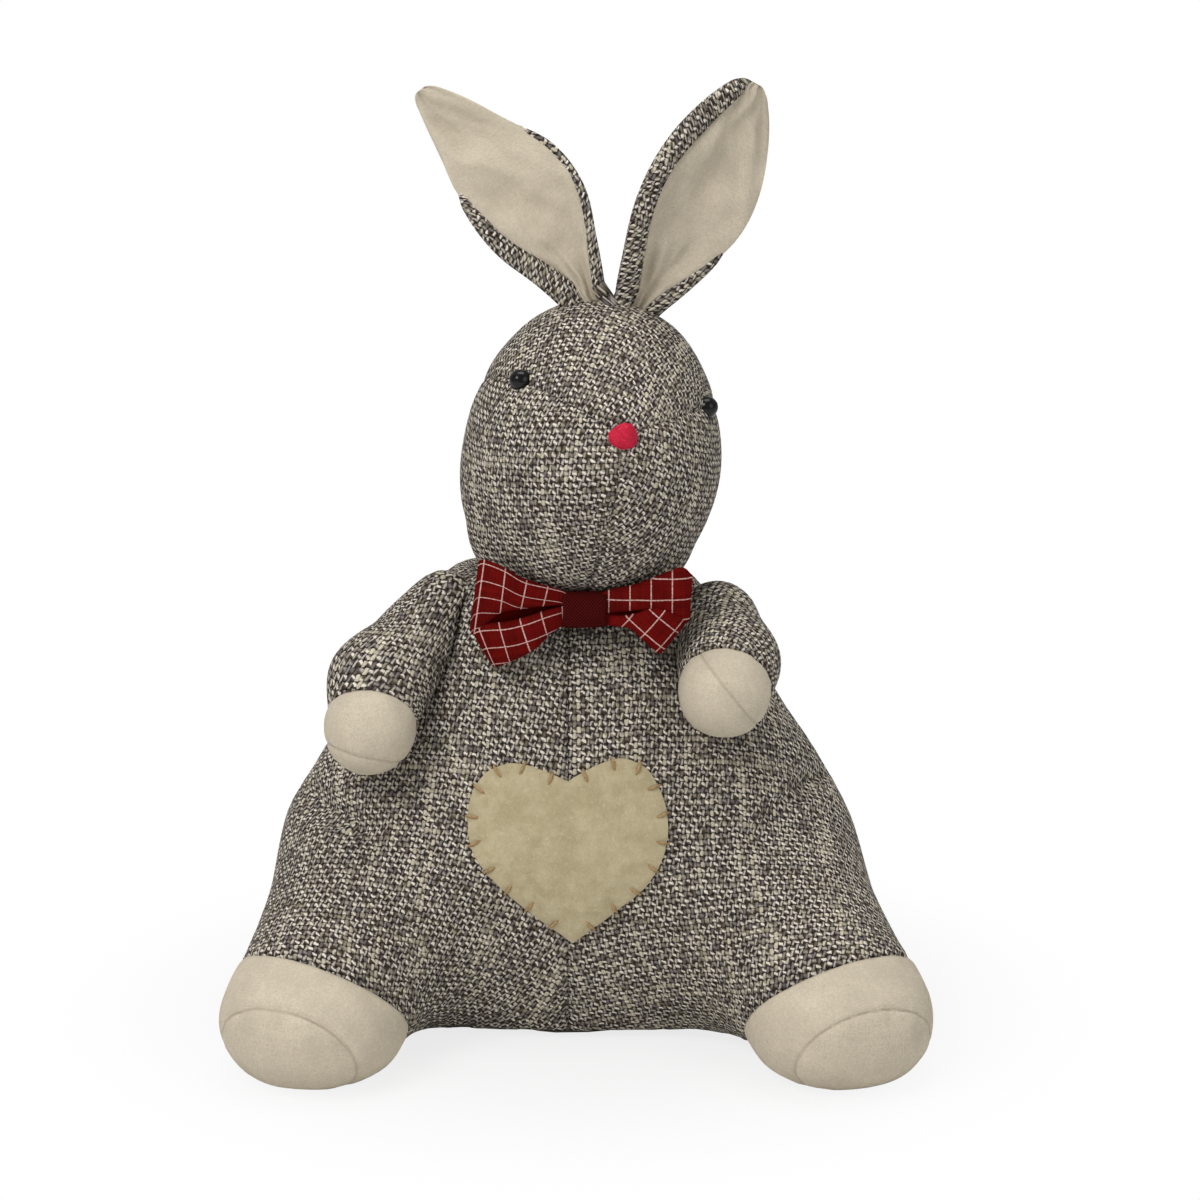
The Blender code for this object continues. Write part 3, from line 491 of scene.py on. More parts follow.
def add_cloth(node, mesh, slot):
    """Puts a cloth piece in the scene in place of one CAD node, named after it."""
    add_piece(node + "_cloth", mesh, slot, (node,))


# Materials


class Weave:
    """A material's node graph, with its shader, that is written as sums."""

    def __init__(self, name, roughness, gloss=0.12):
        self.material = bpy.data.materials.new(name)
        self.material.use_nodes = True
        self.tree = self.material.node_tree
        self.shader = self.tree.nodes["Principled BSDF"]
        self.shader.inputs["Roughness"].default_value = roughness
        self.shader.inputs["Specular IOR Level"].default_value = gloss

    def node(self, kind, **settings):
        made = self.tree.nodes.new(kind)
        for key, value in settings.items():
            setattr(made, key, value)
        return made

    def feed(self, socket, value):
        if isinstance(value, bpy.types.NodeSocket):
            self.tree.links.new(value, socket)
        elif value is not None:
            socket.default_value = value

    def math(self, operation, first, second=None, third=None):
        made = self.node("ShaderNodeMath", operation=operation)
        for socket, value in zip(made.inputs, (first, second, third)):
            self.feed(socket, value)
        return made.outputs[0]

    def add(self, first, second):
        return self.math("ADD", first, second)

    def times(self, first, second):
        return self.math("MULTIPLY", first, second)

    def step(self, value, low, high):
        """0 below low, 1 above high and smooth between them."""
        made = self.node("ShaderNodeMapRange", interpolation_type="SMOOTHSTEP")
        self.feed(made.inputs["Value"], value)
        self.feed(made.inputs["From Min"], low)
        self.feed(made.inputs["From Max"], high)
        return made.outputs["Result"]

    def between(self, share, first, second):
        """Number between two others."""
        made = self.node("ShaderNodeMix", data_type="FLOAT")
        for socket, value in ((0, share), (2, first), (3, second)):
            self.feed(made.inputs[socket], value)
        return made.outputs[0]

    def colour(self, share, first, second, blend="MIX"):
        """Colour between two others."""
        made = self.node("ShaderNodeMix", data_type="RGBA", blend_type=blend)
        self.feed(made.inputs[0], share)
        for socket, value in ((made.inputs[6], first), (made.inputs[7], second)):
            self.feed(socket, (*value, 1.0) if isinstance(value, tuple) else value)
        return made.outputs[2]

    def vector(self, x, y, z=0.0):
        made = self.node("ShaderNodeCombineXYZ")
        for socket, value in zip(made.inputs, (x, y, z)):
            self.feed(socket, value)
        return made.outputs[0]

    def split(self, vector):
        """The first two numbers of a vector or a colour."""
        made = self.node("ShaderNodeSeparateXYZ")
        self.feed(made.inputs[0], vector)
        return made.outputs[0], made.outputs[1]

    def jitter(self, value, chance, amount):
        """The value, moved to either side by a random number from 0 to 1."""
        return self.add(value, self.times(self.add(chance, -0.5), amount))

    def noise(self, vector, scale, detail=2.0, rough=0.5, colour=False):
        made = self.node("ShaderNodeTexNoise")
        self.feed(made.inputs["Vector"], vector)
        made.inputs["Scale"].default_value = scale
        made.inputs["Detail"].default_value = detail
        made.inputs["Roughness"].default_value = rough
        return made.outputs["Color" if colour else "Fac"]

    def random(self, vector):
        made = self.node("ShaderNodeTexWhiteNoise", noise_dimensions="3D")
        self.feed(made.inputs["Vector"], vector)
        return made.outputs["Value"]

    def cloth_map(self):
        """The piece's own map, in metres, as two numbers."""
        return self.split(self.node("ShaderNodeUVMap", uv_map=MAP_NAME).outputs[0])

    def seam(self):
        """How close a sewn seam is, from 0 to 1."""
        made = self.node("ShaderNodeAttribute", attribute_name=SEAM_NAME)
        return self.step(made.outputs["Fac"], 0.45, 0.95)

    def place(self):
        return self.node("ShaderNodeTexCoord").outputs["Object"]

    def finish(self, colour, height=None, depth=0.0):
        self.feed(self.shader.inputs["Base Color"], (*colour, 1.0) if isinstance(colour, tuple) else colour)
        if height is not None:
            bump = self.node("ShaderNodeBump")
            bump.inputs["Strength"].default_value = 1.0
            bump.inputs["Distance"].default_value = depth
            self.feed(bump.inputs["Height"], height)
            self.feed(self.shader.inputs["Normal"], bump.outputs[0])
        return self.material


def plain_weave(g, u, v, pitches, wander, wander_scale, fullness=(0.62, 0.80)):
    """A plain weave's thread on top, its number, places across and along it, height, column and row."""
    drift_u, drift_v = g.split(g.noise(g.vector(u, v), wander_scale, colour=True))
    warp = g.jitter(g.math("DIVIDE", u, pitches[0]), drift_u, wander)
    weft = g.jitter(g.math("DIVIDE", v, pitches[1]), drift_v, wander)
    column, row = g.math("FLOOR", warp), g.math("FLOOR", weft)
    in_column = g.add(g.math("SUBTRACT", warp, column), -0.5)
    in_row = g.add(g.math("SUBTRACT", weft, row), -0.5)
    over = g.math("FLOORED_MODULO", g.add(column, row), 2.0)
    across = g.between(over, in_column, in_row)
    along_cell = g.between(over, in_row, in_column)
    along = g.between(over, weft, warp)
    thread = g.between(over, column, g.add(row, 517.0))
    bulge = 1.0
    for place, full in zip((across, along_cell), fullness):
        part = g.math("ABSOLUTE", g.math("DIVIDE", place, full))
        bulge = g.math("SUBTRACT", bulge, g.math("POWER", part, 2.0))
    height = g.math("SQRT", g.math("MAXIMUM", bulge, 0.0))
    return over, thread, across, along, height, column, row


BROWN_YARN = (0.112, 0.086, 0.062)
GREY_YARN = (0.120, 0.102, 0.098)
OLIVE_YARN = (0.250, 0.228, 0.160)
# Dark ply, also used as painted shade between the plies
DARK_PLY_AND_SHADE = (0.026, 0.019, 0.015)
# Pale ply, also used as a painted highlight on the crest of each twist
PALE_PLY_AND_HIGHLIGHT = (0.720, 0.662, 0.570)
CREAM_SLUB = (0.600, 0.540, 0.405)
# Near black: painted shade in the gaps between the threads, and also the dark line along the seams
GAP_SHADE_AND_SEAM_DARK = (0.007, 0.005, 0.004)
TWEED_FUZZ = 0.0013


def tweed(name):
    """Coarse plain weave of twisted yarn: pale strands, partly painted highlight, slant over dark threads,
    with painted shade between the threads and the plies, and cream slubs.
    """
    g = Weave(name, 0.95, 0.08)
    u, v = g.cloth_map()
    fuzz_u, fuzz_v = g.split(g.noise(g.vector(u, v, 5.0), 620.0, 3.0, 0.7, colour=True))
    u, v = g.jitter(u, fuzz_u, TWEED_FUZZ), g.jitter(v, fuzz_v, TWEED_FUZZ)
    weave = plain_weave(g, u, v, TWEED_PITCHES, 0.7, 110.0, (0.50, 0.74))
    over, thread, across, along, height, column, row = weave
    cell_luck = g.random(g.vector(column, row, 9.0))
    cell_light = g.random(g.vector(column, row, 4.0))
    fibres = g.noise(g.vector(g.times(across, 4.0), g.times(along, 2.0), g.times(thread, 3.7)), 1.0, 3.0, 0.7)
    slant = g.times(g.add(g.math("FRACT", along), -0.5), g.between(over, -2.6, 2.2))
    turn = g.jitter(g.add(slant, g.times(across, 5.2)), fibres, 2.6)
    turn = g.add(turn, g.add(g.times(cell_luck, 3.0), 0.07))
    ply = g.math("SINE", turn)
    hue = g.noise(g.vector(g.times(thread, 11.3), g.times(along, 0.22), 4.0), 1.0, 1.0)
    hue = g.jitter(hue, cell_luck, 0.35)
    base = g.colour(g.step(hue, 0.30, 0.50), BROWN_YARN, GREY_YARN)
    base = g.colour(g.step(hue, 0.56, 0.72), base, OLIVE_YARN)
    # Pale slanted dashes on the crest of each twist: pale ply, partly a painted highlight
    strand = g.times(g.step(ply, 0.15, 0.80), g.step(cell_light, -0.10, 0.70))
    strand = g.times(strand, g.between(over, 0.60, 1.0))
    colour = g.colour(strand, base, PALE_PLY_AND_HIGHLIGHT)
    # Darker in the trough of each twist: dark ply, partly painted shade between the plies
    colour = g.colour(g.times(g.step(ply, -0.10, -0.85), 0.75), colour, DARK_PLY_AND_SHADE)
    slub = g.noise(g.vector(g.times(thread, 17.9), g.times(along, 0.06), 1.0), 1.0, 0.0)
    slub = g.times(g.step(slub, 0.60, 0.72), g.between(over, 0.90, 0.40))
    colour = g.colour(g.times(slub, g.step(fibres, 0.20, 0.50)), colour, CREAM_SLUB)
    # Painted shade: darker towards the near-black gap where a thread dips under its neighbour
    groove = g.step(height, 0.05, 0.68)
    colour = g.colour(g.add(g.times(groove, -0.92), 0.92), colour, GAP_SHADE_AND_SEAM_DARK)
    colour = g.colour(g.times(g.seam(), 0.40), colour, GAP_SHADE_AND_SEAM_DARK)
    relief = g.add(height, g.add(g.times(fibres, 0.30), g.times(ply, 0.10)))
    return g.finish(colour, relief, 0.00060)


COTTON_FLECK = (0.300, 0.240, 0.160)
COTTON_SEAM = (0.200, 0.150, 0.095)


def cotton(name, tint):
    """Fine cream cotton with faint thick threads, and painted shade in the gaps between them."""
    g = Weave(name, 0.9)
    u, v = g.cloth_map()
    over, thread, _, along, height, column, row = plain_weave(g, u, v, COTTON_PITCHES, 0.6, 120.0)
    thread_luck = g.random(g.vector(thread, over, 5.0))
    cell_luck = g.random(g.vector(column, row, 6.0))
    luck = g.add(g.times(thread_luck, 0.35), g.times(cell_luck, 0.65))
    mottle = g.noise(g.vector(u, v, 2.0), 55.0, 4.0, 0.6)
    streak = g.noise(g.vector(g.times(thread, 5.3), g.times(along, 0.04), over), 1.0, 1.0)
    fleck = g.noise(g.vector(u, v, 7.0), 900.0, 1.0, 0.5)
    shade = g.add(g.times(luck, 0.40), g.add(g.times(mottle, 0.9), g.times(streak, 0.15)))
    low = tuple(0.76 * part for part in tint)
    high = tuple(min(1.12 * part, 0.85) for part in tint)
    # Colour of the painted shade in the gaps between the threads
    gap = tuple(0.42 * part for part in tint)
    colour = g.colour(g.step(shade, 0.35, 1.40), low, high)
    colour = g.colour(g.times(g.step(fleck, 0.66, 0.74), 0.35), colour, COTTON_FLECK)
    # Painted shade: darker where a thread dips into the gap between threads
    colour = g.colour(g.add(g.times(g.step(height, 0.0, 0.7), -0.75), 0.75), colour, gap)
    colour = g.colour(g.times(g.seam(), 0.26), colour, COTTON_SEAM)
    return g.finish(colour, height, 0.00018)


def felt(name, tint, dark, light):
    """Pressed felt: short fibres lying every way, mottled."""
    g = Weave(name, 0.95)
    place = g.place()
    blotch = g.noise(place, 140.0, 5.0, 0.65)
    bend = g.node("ShaderNodeVectorMath", operation="MULTIPLY_ADD")
    g.feed(bend.inputs[0], g.noise(place, 260.0, 2.0, 0.5, colour=True))
    g.feed(bend.inputs[1], (0.010, 0.010, 0.010))
    g.feed(bend.inputs[2], place)
    fibres = g.noise(bend.outputs[0], 1500.0, 3.0, 0.75)
    colour = g.colour(g.step(blotch, 0.30, 0.72), dark, tint)
    colour = g.colour(g.times(g.step(fibres, 0.50, 0.75), 0.6), colour, light)
    colour = g.colour(g.times(g.step(fibres, 0.48, 0.30), 0.25), colour, dark)
    return g.finish(colour, g.add(fibres, g.times(blotch, 0.8)), 0.00035)


CHECK_RED = (0.136, 0.0038, 0.0028)
CHECK_DEEP = (0.070, 0.0020, 0.0015)
CHECK_LINE = (0.620, 0.400, 0.360)
LINE_WIDTH = 0.00042


def checked(name):
    """Red cotton with thin white window-pane lines."""
    g = Weave(name, 0.8, 0.04)
    u, v = g.cloth_map()
    over, thread, _, _, height, _, _ = plain_weave(g, u, v, CHECK_PITCHES, 0.3, 60.0)
    luck = g.random(g.vector(thread, over, 5.0))
    mottle = g.noise(g.vector(u, v, 1.0), 160.0, 3.0, 0.6)
    colour = g.colour(g.step(g.add(g.times(luck, 0.5), mottle), 0.35, 1.1), CHECK_DEEP, CHECK_RED)
    broken = g.noise(g.vector(u, v, 3.0), 1400.0, 1.0, 0.5)
    for axis in (u, v):
        centre = g.math("PINGPONG", axis, CHECK_SPACING / 2.0)
        line = g.math("LESS_THAN", centre, LINE_WIDTH / 2.0)
        line = g.times(line, g.add(g.times(g.step(broken, 0.30, 0.62), 0.55), 0.40))
        colour = g.colour(line, colour, CHECK_LINE)
    return g.finish(colour, height, 0.00010)


def twill(name, dark, light, pitch):
    """Diagonal twill of one colour, its ribs striped dark and light by painted shade and light."""
    g = Weave(name, 0.85, 0.04)
    u, v = g.cloth_map()
    wave = g.math("SINE", g.times(g.add(u, v), 2.0 * math.pi / pitch))
    fibres = g.noise(g.vector(u, v, 1.0), 1800.0, 2.0, 0.6)
    # Painted shade in the troughs of the rib wave and painted light on its crests
    colour = g.colour(g.step(g.add(wave, g.times(fibres, 0.8)), -0.6, 1.3), dark, light)
    return g.finish(colour, g.add(wave, fibres), 0.00012)


def loose(name, dark, light, scale, depth):
    """Fibres, thread or sand bag cloth, by noise in the piece's own space."""
    g = Weave(name, 0.9)
    place = g.place()
    fibres = g.noise(place, scale, 4.0, 0.65)
    colour = g.colour(g.step(fibres, 0.35, 0.65), dark, light)
    return g.finish(colour, fibres, depth)


def bead(name):
    """Polished black bead, dusty in places."""
    g = Weave(name, 0.12, 0.28)
    dust = g.noise(g.place(), 900.0, 3.0, 0.6)
    colour = g.colour(g.step(dust, 0.45, 0.75), (0.003, 0.003, 0.003), (0.009, 0.008, 0.008))
    g.feed(g.shader.inputs["Roughness"], g.between(dust, 0.06, 0.22))
    return g.finish(colour, dust, 0.00004)


MATERIALS = {
    "tweed": tweed("tweed_cloth"),
    "cream_cotton": cotton("cotton_cloth", (0.625, 0.550, 0.425)),
    "felt": felt("heart_felt", (0.500, 0.430, 0.275), (0.400, 0.335, 0.200), (0.640, 0.575, 0.415)),
    "red_check": checked("check_cloth"),
    # The knot's dark and light colours are painted shade and light on the twill's ribs
    "knot_red": twill("knot_cloth", (0.018, 0.0016, 0.0016), (0.085, 0.0045, 0.0040), 0.0011),
    "nose_red": felt("nose_felt", (0.640, 0.022, 0.058), (0.440, 0.012, 0.034), (0.780, 0.090, 0.150)),
    "eye_black": bead("bead_gloss"),
    "thread": loose("stitch_thread", (0.250, 0.150, 0.060), (0.440, 0.310, 0.160), 2200.0, 0.0002),
    "base_cloth": loose("base_cloth", (0.060, 0.050, 0.045), (0.140, 0.120, 0.105), 1100.0, 0.0004),
    "filling": loose("fibre_filling", (0.620, 0.610, 0.580), (0.850, 0.840, 0.820), 500.0, 0.0010),
    "sand_bag": loose("bag_cloth", (0.300, 0.260, 0.190), (0.480, 0.430, 0.330), 1200.0, 0.0004),
}


# Torso, legs and head: panels sewn from one form


def sewn_panel(whole, field, planes, close_to_seam, seams, seed, thickness, slit=None, sizes=LUMPS):
    """One panel: what is left of a form after its cuts, laid flat for its weave, with gathered seams."""
    panel = whole.copy()
    for place, normal in planes:
        cut(panel, place, normal)
    panel = unwrap(panel, slit)
    refine(panel)
    rim = np.array([vertex.is_boundary for vertex in panel.verts])
    place_all(panel, settled(places_of(panel), field, planes, rim))
    refine(panel, close_to_seam)
    rim = np.array([vertex.is_boundary for vertex in panel.verts])
    points = settled(places_of(panel), field, planes, rim)
    normals = normals_of(field, points)
    normals[rim] = within(normals[rim], points[rim], planes)
    offsets, distances = gathered(points, rim, *seams)
    points = points + normals * (offsets + lumps(points, *sizes, seed))[:, None]
    place_all(panel, points)
    seam = panel.verts.layers.float.new(SEAM_NAME)
    for vertex, distance in zip(panel.verts, distances):
        vertex[seam] = math.exp(-((distance / SEAM_LINE) ** 2))
    return closed_back(panel, points - normals * thickness)


def limb_panel(whole, field, planes, close_to_seam, thickness, slit=None):
    """A panel with the seams and the small lumps of an arm, a paw, a foot or a sole."""
    return sewn_panel(
        whole, field, planes, close_to_seam, LIMB_SEAMS, LIMB_SEED, thickness, slit, SMALL_LUMPS
    )


def joined(meshes):
    """Several meshes as one."""
    data = bpy.data.meshes.new("joining")
    result = meshes[0]
    for mesh in meshes[1:]:
        mesh.to_mesh(data)
        result.from_mesh(data)
        mesh.free()
    bpy.data.meshes.remove(data)
    return result


def near_planes(planes):
    """Test for points close to any of some planes, each a point and a normal."""

    def test(points):
        offsets = [np.abs((points - np.array(p)) @ np.array(n)) for p, n in planes]
        return np.min(offsets, axis=0) < NEAR_SEAM

    return test


def ankle_plane(side):
    """Point and normal of the ankle seam's plane, facing the foot."""
    return on_side(ANKLE, side), on_side(ANKLE_FACING, side).normalized()


def make_torso():
    """Front panels and back panel of the cover, open at the ankles and over the base panel."""
    whole = sphere_on(torso_field, TORSO_CENTRE, 5)
    close_to_ankle = near_planes([ankle_plane(side) for side in (-1, 1)])

    def close_to_seam(points):
        side = np.abs(points[:, 1] - SIDE_SEAM_Y)
        middle = np.where(points[:, 1] < SIDE_SEAM_Y, np.abs(points[:, 0] - MIDDLE_SEAM_X), 1.0)
        return (np.minimum(side, middle) < NEAR_SEAM) | close_to_ankle(points)

    hem = ((0.0, 0.0, BASE_CLOTH), (0.0, 0.0, -1.0))
    side_seam = (0.0, SIDE_SEAM_Y, 0.0)
    middle_seam = (MIDDLE_SEAM_X, 0.0, 0.0)
    panels = {}
    for name, side in (("torso_front_left", 1), ("torso_front_right", -1)):
        seams = ((side_seam, (0.0, 1.0, 0.0)), (middle_seam, (-side, 0.0, 0.0)))
        panels[name] = (*seams, hem, ankle_plane(side))
    panels["torso_back"] = ((side_seam, (0.0, -1.0, 0.0)), hem)
    for name, planes in panels.items():
        panel = sewn_panel(whole, torso_field, planes, close_to_seam, TORSO_SEAMS, TORSO_SEED, TWEED)
        add_cloth(name, panel, "tweed")
    whole.free()


FILLING_DEPTH = 0.0045  # under the cover


def make_filling(name, field):
    """The stuffing, smoother than in the CAD model and a little further under the cover."""
    mesh = bmesh.new()
    mesh.from_mesh(frame["nodes"][name].data)
    bmesh.ops.remove_doubles(mesh, verts=mesh.verts[:], dist=TOUCHING)
    bmesh.ops.triangulate(mesh, faces=mesh.faces[:])
    refine(mesh)
    points = places_of(mesh)
    sink = np.maximum(field(points) + FILLING_DEPTH, 0.0)
    place_all(mesh, points - normals_of(field, points) * sink[:, None])
    add_piece(name + "_fibres", mesh, "filling", (name,))


def make_head():
    """Gusset over the crown and two side panels that meet under the nose."""
    centre = Vector(HEAD_CENTRE)
    left, right, middle = head_planes()
    whole = sphere_on(head_field, HEAD_CENTRE, 4)

    def close_to_seam(points):
        return np.abs(off_head_seams(points)).min(axis=0) < NEAR_SEAM

    cuts = {
        "head_gusset": ((centre, left), (centre, right)),
        "head_side_left": ((centre, -left), (centre, -middle)),
        "head_side_right": ((centre, -right), (centre, middle)),
    }
    for name, planes in cuts.items():
        panel = sewn_panel(whole, head_field, planes, close_to_seam, HEAD_SEAMS, HEAD_SEED, TWEED)
        add_cloth(name, panel, "tweed")
    whole.free()


# Feet and paws of cotton, arms of tweed


def make_feet():
    """Stuffed feet, sewn on at the ankles, each with its sole."""
    for name, side in (("left", 1), ("right", -1)):
        ankle, normal = ankle_plane(side)
        middle = on_side(FOOT_CENTRE, side)
        across = Vector((0.0, 0.0, 1.0)).cross(normal).normalized()
        axes = np.array((across, Vector((0.0, 0.0, 1.0)).cross(across), (0.0, 0.0, 1.0)))

        def foot_field(points, side=side, middle=middle, axes=axes):
            local = (points - np.array(middle)) @ axes.T
            foot = ellipsoid(local, (0.0, 0.0, 0.0), FOOT_RADII)
            foot = blended(foot, leg_field(points, side), FOOT_BLEND)
            return trimmed(foot, -points[:, 2], FLOOR_ROUNDING)

        whole = sphere_on(foot_field, middle, 4)
        sole_normal = on_side(SOLE_FACING, side).normalized()
        seam = middle + sole_normal * SOLE_SEAM
        planes = ((ankle, -normal), (seam, sole_normal))
        close = near_planes(planes)
        slit = (middle, across, (0.0, 0.0, -1.0))
        foot = limb_panel(whole, foot_field, planes, close, COTTON, slit)
        add_cloth("foot_" + name, foot, "cream_cotton")
        sole = limb_panel(whole, foot_field, ((seam, -sole_normal),), close, COTTON)
        add_cloth("sole_" + name, sole, "cream_cotton")
        whole.free()


PAW_SEAMS = {  # place from the paw's middle, and normal
    "right": ((-0.001, -0.004, -0.0085), (0.26, 0.12, 0.96)),
    "left": ((0.001, -0.002, 0.0015), (0.78, 0.10, 0.62)),
}


def make_arm(side_name):
    """Arm pressed against the torso, and the two-part paw sewn on at its wrist."""
    shoulder, elbow, wrist = (Vector(place) for place in ARMS[side_name])
    normal = (wrist - elbow).normalized()

    def arm_field(points):
        upper = round_cone(points, shoulder, elbow, ARM_RADII[0], ARM_RADII[1])
        lower = round_cone(points, elbow, wrist, ARM_RADII[1], ARM_RADII[2])
        arm = blended(upper, lower, ARM_RADII[1] / 2.0)
        return trimmed(arm, ARM_GAP - torso_field(points), LIMB_ROUNDING)

    whole = sphere_on(arm_field, elbow, 4)
    side = 1.0 if side_name == "left" else -1.0
    hidden = (side * -0.6, 0.8, 0.0)
    slit = (elbow, normal.cross(Vector(hidden)).normalized(), hidden)
    wrist_plane = (wrist, normal)
    close = near_planes((wrist_plane,))
    arm = limb_panel(whole, arm_field, (wrist_plane,), close, TWEED, slit)
    add_cloth("arm_" + side_name, arm, "tweed")
    whole.free()

    middle = wrist + normal * PAW_REACH
    across = normal.cross(Vector((0.0, 0.0, 1.0))).normalized()
    axes = np.array((across, normal, across.cross(normal)))

    def paw_field(points):
        local = (points - np.array(middle)) @ axes.T
        paw = ellipsoid(local, (0.0, 0.0, 0.0), PAW_RADII)
        return trimmed(paw, ARM_GAP - torso_field(points), LIMB_ROUNDING)

    whole = sphere_on(paw_field, middle, 4)
    offset, seam_normal = (Vector(value) for value in PAW_SEAMS[side_name])
    seam_normal.normalize()
    seam = middle + offset
    wrist_plane = (wrist, -normal)
    close = near_planes((wrist_plane, (seam, seam_normal)))
    halves = []
    for facing in (seam_normal, -seam_normal):
        planes = (wrist_plane, (seam, facing))
        halves.append(limb_panel(whole, paw_field, planes, close, COTTON))
    whole.free()
    add_cloth("paw_" + side_name, joined(halves), "cream_cotton")


# Ears: half width, and the tweed shown at the broad and at the thin edge, each from root to tip

EARS = {
    "right": {
        "root": -0.0102,
        "tip": (-0.0535, 0.008, 0.3265),
        "facing": (0.1, -1.0, 0.0),
        "bend": 0.0052,
        "widths": (
            (0.0, 0.0072), (0.15, 0.012), (0.35, 0.0184), (0.55, 0.0182),
            (0.75, 0.0108), (0.9, 0.0064), (1.0, 0.0028),
        ),
        "broad": (
            (0.0, 0.008), (0.15, 0.007), (0.35, 0.0052), (0.5, 0.003),
            (0.62, 0.0004), (1.0, 0.0003),
        ),
        "thin": ((0.0, 0.0035), (0.3, 0.0016), (0.6, 0.001), (0.72, 0.0004), (1.0, 0.0003)),
    },
    "left": {
        "root": 0.0055,
        "tip": (0.0595, 0.01, 0.3295),
        "facing": (0.5, -0.86, 0.0),
        "bend": 0.0004,
        "widths": (
            (0.0, 0.008), (0.15, 0.0136), (0.35, 0.0192), (0.55, 0.02),
            (0.75, 0.0164), (0.9, 0.0106), (1.0, 0.0046),
        ),
        "broad": (
            (0.0, 0.008), (0.2, 0.007), (0.5, 0.0062), (0.8, 0.0075),
            (0.95, 0.005), (1.0, 0.0015),
        ),
        "thin": ((0.0, 0.0045), (0.15, 0.004), (0.3, 0.0014), (0.38, 0.0004), (1.0, 0.0003)),
    },
}
EAR_CUPS = ((0.0, 0.0070), (0.3, 0.0060), (0.6, 0.0045), (1.0, 0.0005))
EAR_TWEED = 0.0020
EAR_LINING = 0.0010
EAR_ROOT_BACK = 0.004
EAR_ROOT_LIFT = 0.020
EAR_STATIONS = 90
EAR_POINTS = 28
EAR_LIP_POINTS = 7
EAR_TIP_FROM = 0.96  # where the tip's rounding begins
EAR_DENTS = ((1.0, 0.0036), (2.3, 0.0019))  # fineness and height of the lining's unevenness
EAR_PINCHES = (  # depth, place across the lining, how that drifts up the ear, width
    (-0.0026, 0.62, 0.3, 0.09),
    (-0.0016, 0.30, -0.2, 0.07),
)


def interpolated(table, share):
    """Smooth value between the rows of a table of (share, value)."""
    shares = np.array([row[0] for row in table])
    values = np.array([row[1] for row in table])
    index = int(np.clip(np.searchsorted(shares, share) - 1, 0, len(table) - 2))
    slopes = np.gradient(values, shares)
    width = shares[index + 1] - shares[index]
    t = (share - shares[index]) / width
    start = (2 * t**3 - 3 * t**2 + 1) * values[index] + (t**3 - 2 * t**2 + t) * width * slopes[index]
    end = (3 * t**2 - 2 * t**3) * values[index + 1] + (t**3 - t**2) * width * slopes[index + 1]
    return float(start + end)


def run_along(points):
    """Length along a line of points, from its first to each of them."""
    return np.concatenate([[0.0], np.cumsum(np.linalg.norm(np.diff(points, axis=0), axis=1))])


def loft(rings):
    """Closed mesh through rings of points, with a map that runs round and along them in metres."""
    mesh = bmesh.new()
    layer = mesh.loops.layers.uv.new(MAP_NAME)
    rings = [np.array(ring) for ring in rings]
    rows = [[mesh.verts.new(point) for point in ring] for ring in rings]
    around = [run_along(np.concatenate([ring, ring[:1]])) for ring in rings]
    around = [run - run[len(run) // 4] for run in around]
    up = run_along(np.array([ring.mean(axis=0) for ring in rings]))
    count = len(rows[0])
    for k in range(len(rows) - 1):
        for i in range(count):
            j = (i + 1) % count
            face = mesh.faces.new((rows[k][i], rows[k][j], rows[k + 1][j], rows[k + 1][i]))
            places = ((around[k][i], up[k]), (around[k][i + 1], up[k]))
            places += ((around[k + 1][i + 1], up[k + 1]), (around[k + 1][i], up[k + 1]))
            for loop, place in zip(face.loops, places):
                loop[layer].uv = place
    for row, run, height in ((rows[0][::-1], around[0][-2::-1], up[0]), (rows[-1], around[-1], up[-1])):
        face = mesh.faces.new(row)
        for loop, place in zip(face.loops, run):
            loop[layer].uv = (place, height)
    face_outward(mesh)
    return mesh


def ear_sections(half_width, cup, broad, thin, dent):
    """Cross-sections of the tweed back and of the lining, as (across, front) points."""

    def curve(across):
        return cup * (across / half_width) ** 2

    def lip(side, width):
        """Rounded edge of the tweed that is turned over the lining, from its outside to its bed."""
        points = []
        middle = half_width - width / 2.0
        shown = min(1.0, width / 0.0015)
        for k in range(EAR_LIP_POINTS):
            turn = -0.35 * math.pi + (1.35 * math.pi) * k / (EAR_LIP_POINTS - 1)
            reach = (width / 2.0 + EAR_TWEED / 2.0 * shown) * math.cos(turn)
            rise = (EAR_LINING * shown + 0.35 * min(width, 0.004)) * math.sin(turn)
            points.append((side * (middle + reach), curve(half_width - width / 2) + rise))
        points.append((side * (half_width - width), curve(half_width - width)))
        return points

    broad = min(broad, 0.75 * half_width)
    thin = min(thin, 0.45 * half_width)
    low, high = broad - half_width, half_width - thin
    back = [(a * half_width, curve(a * half_width) - EAR_TWEED) for a in np.linspace(-0.96, 0.96, EAR_POINTS)]
    floor = [(a, curve(a)) for a in np.linspace(high, low, EAR_POINTS)]
    tweed_loop = back + lip(1, thin) + floor[1:-1] + lip(-1, broad)[::-1]
    edges = [0.0006 + 0.5 * max(0.0, 0.0014 - width) for width in (broad, thin)]
    bed = np.linspace(low - edges[0], high + edges[1], EAR_POINTS)
    under = [(a, curve(a) + 0.0002) for a in bed]
    over = []
    for k, a in enumerate(bed):
        share = k / (EAR_POINTS - 1)
        crown = math.sin(math.pi * share) ** 0.5
        rise = EAR_LINING * (0.35 + 2.0 * crown) + dent(share) * crown
        over.append((a, curve(a) + 0.0002 + max(rise, 0.35 * EAR_LINING)))
    return tweed_loop, under + over[::-1]


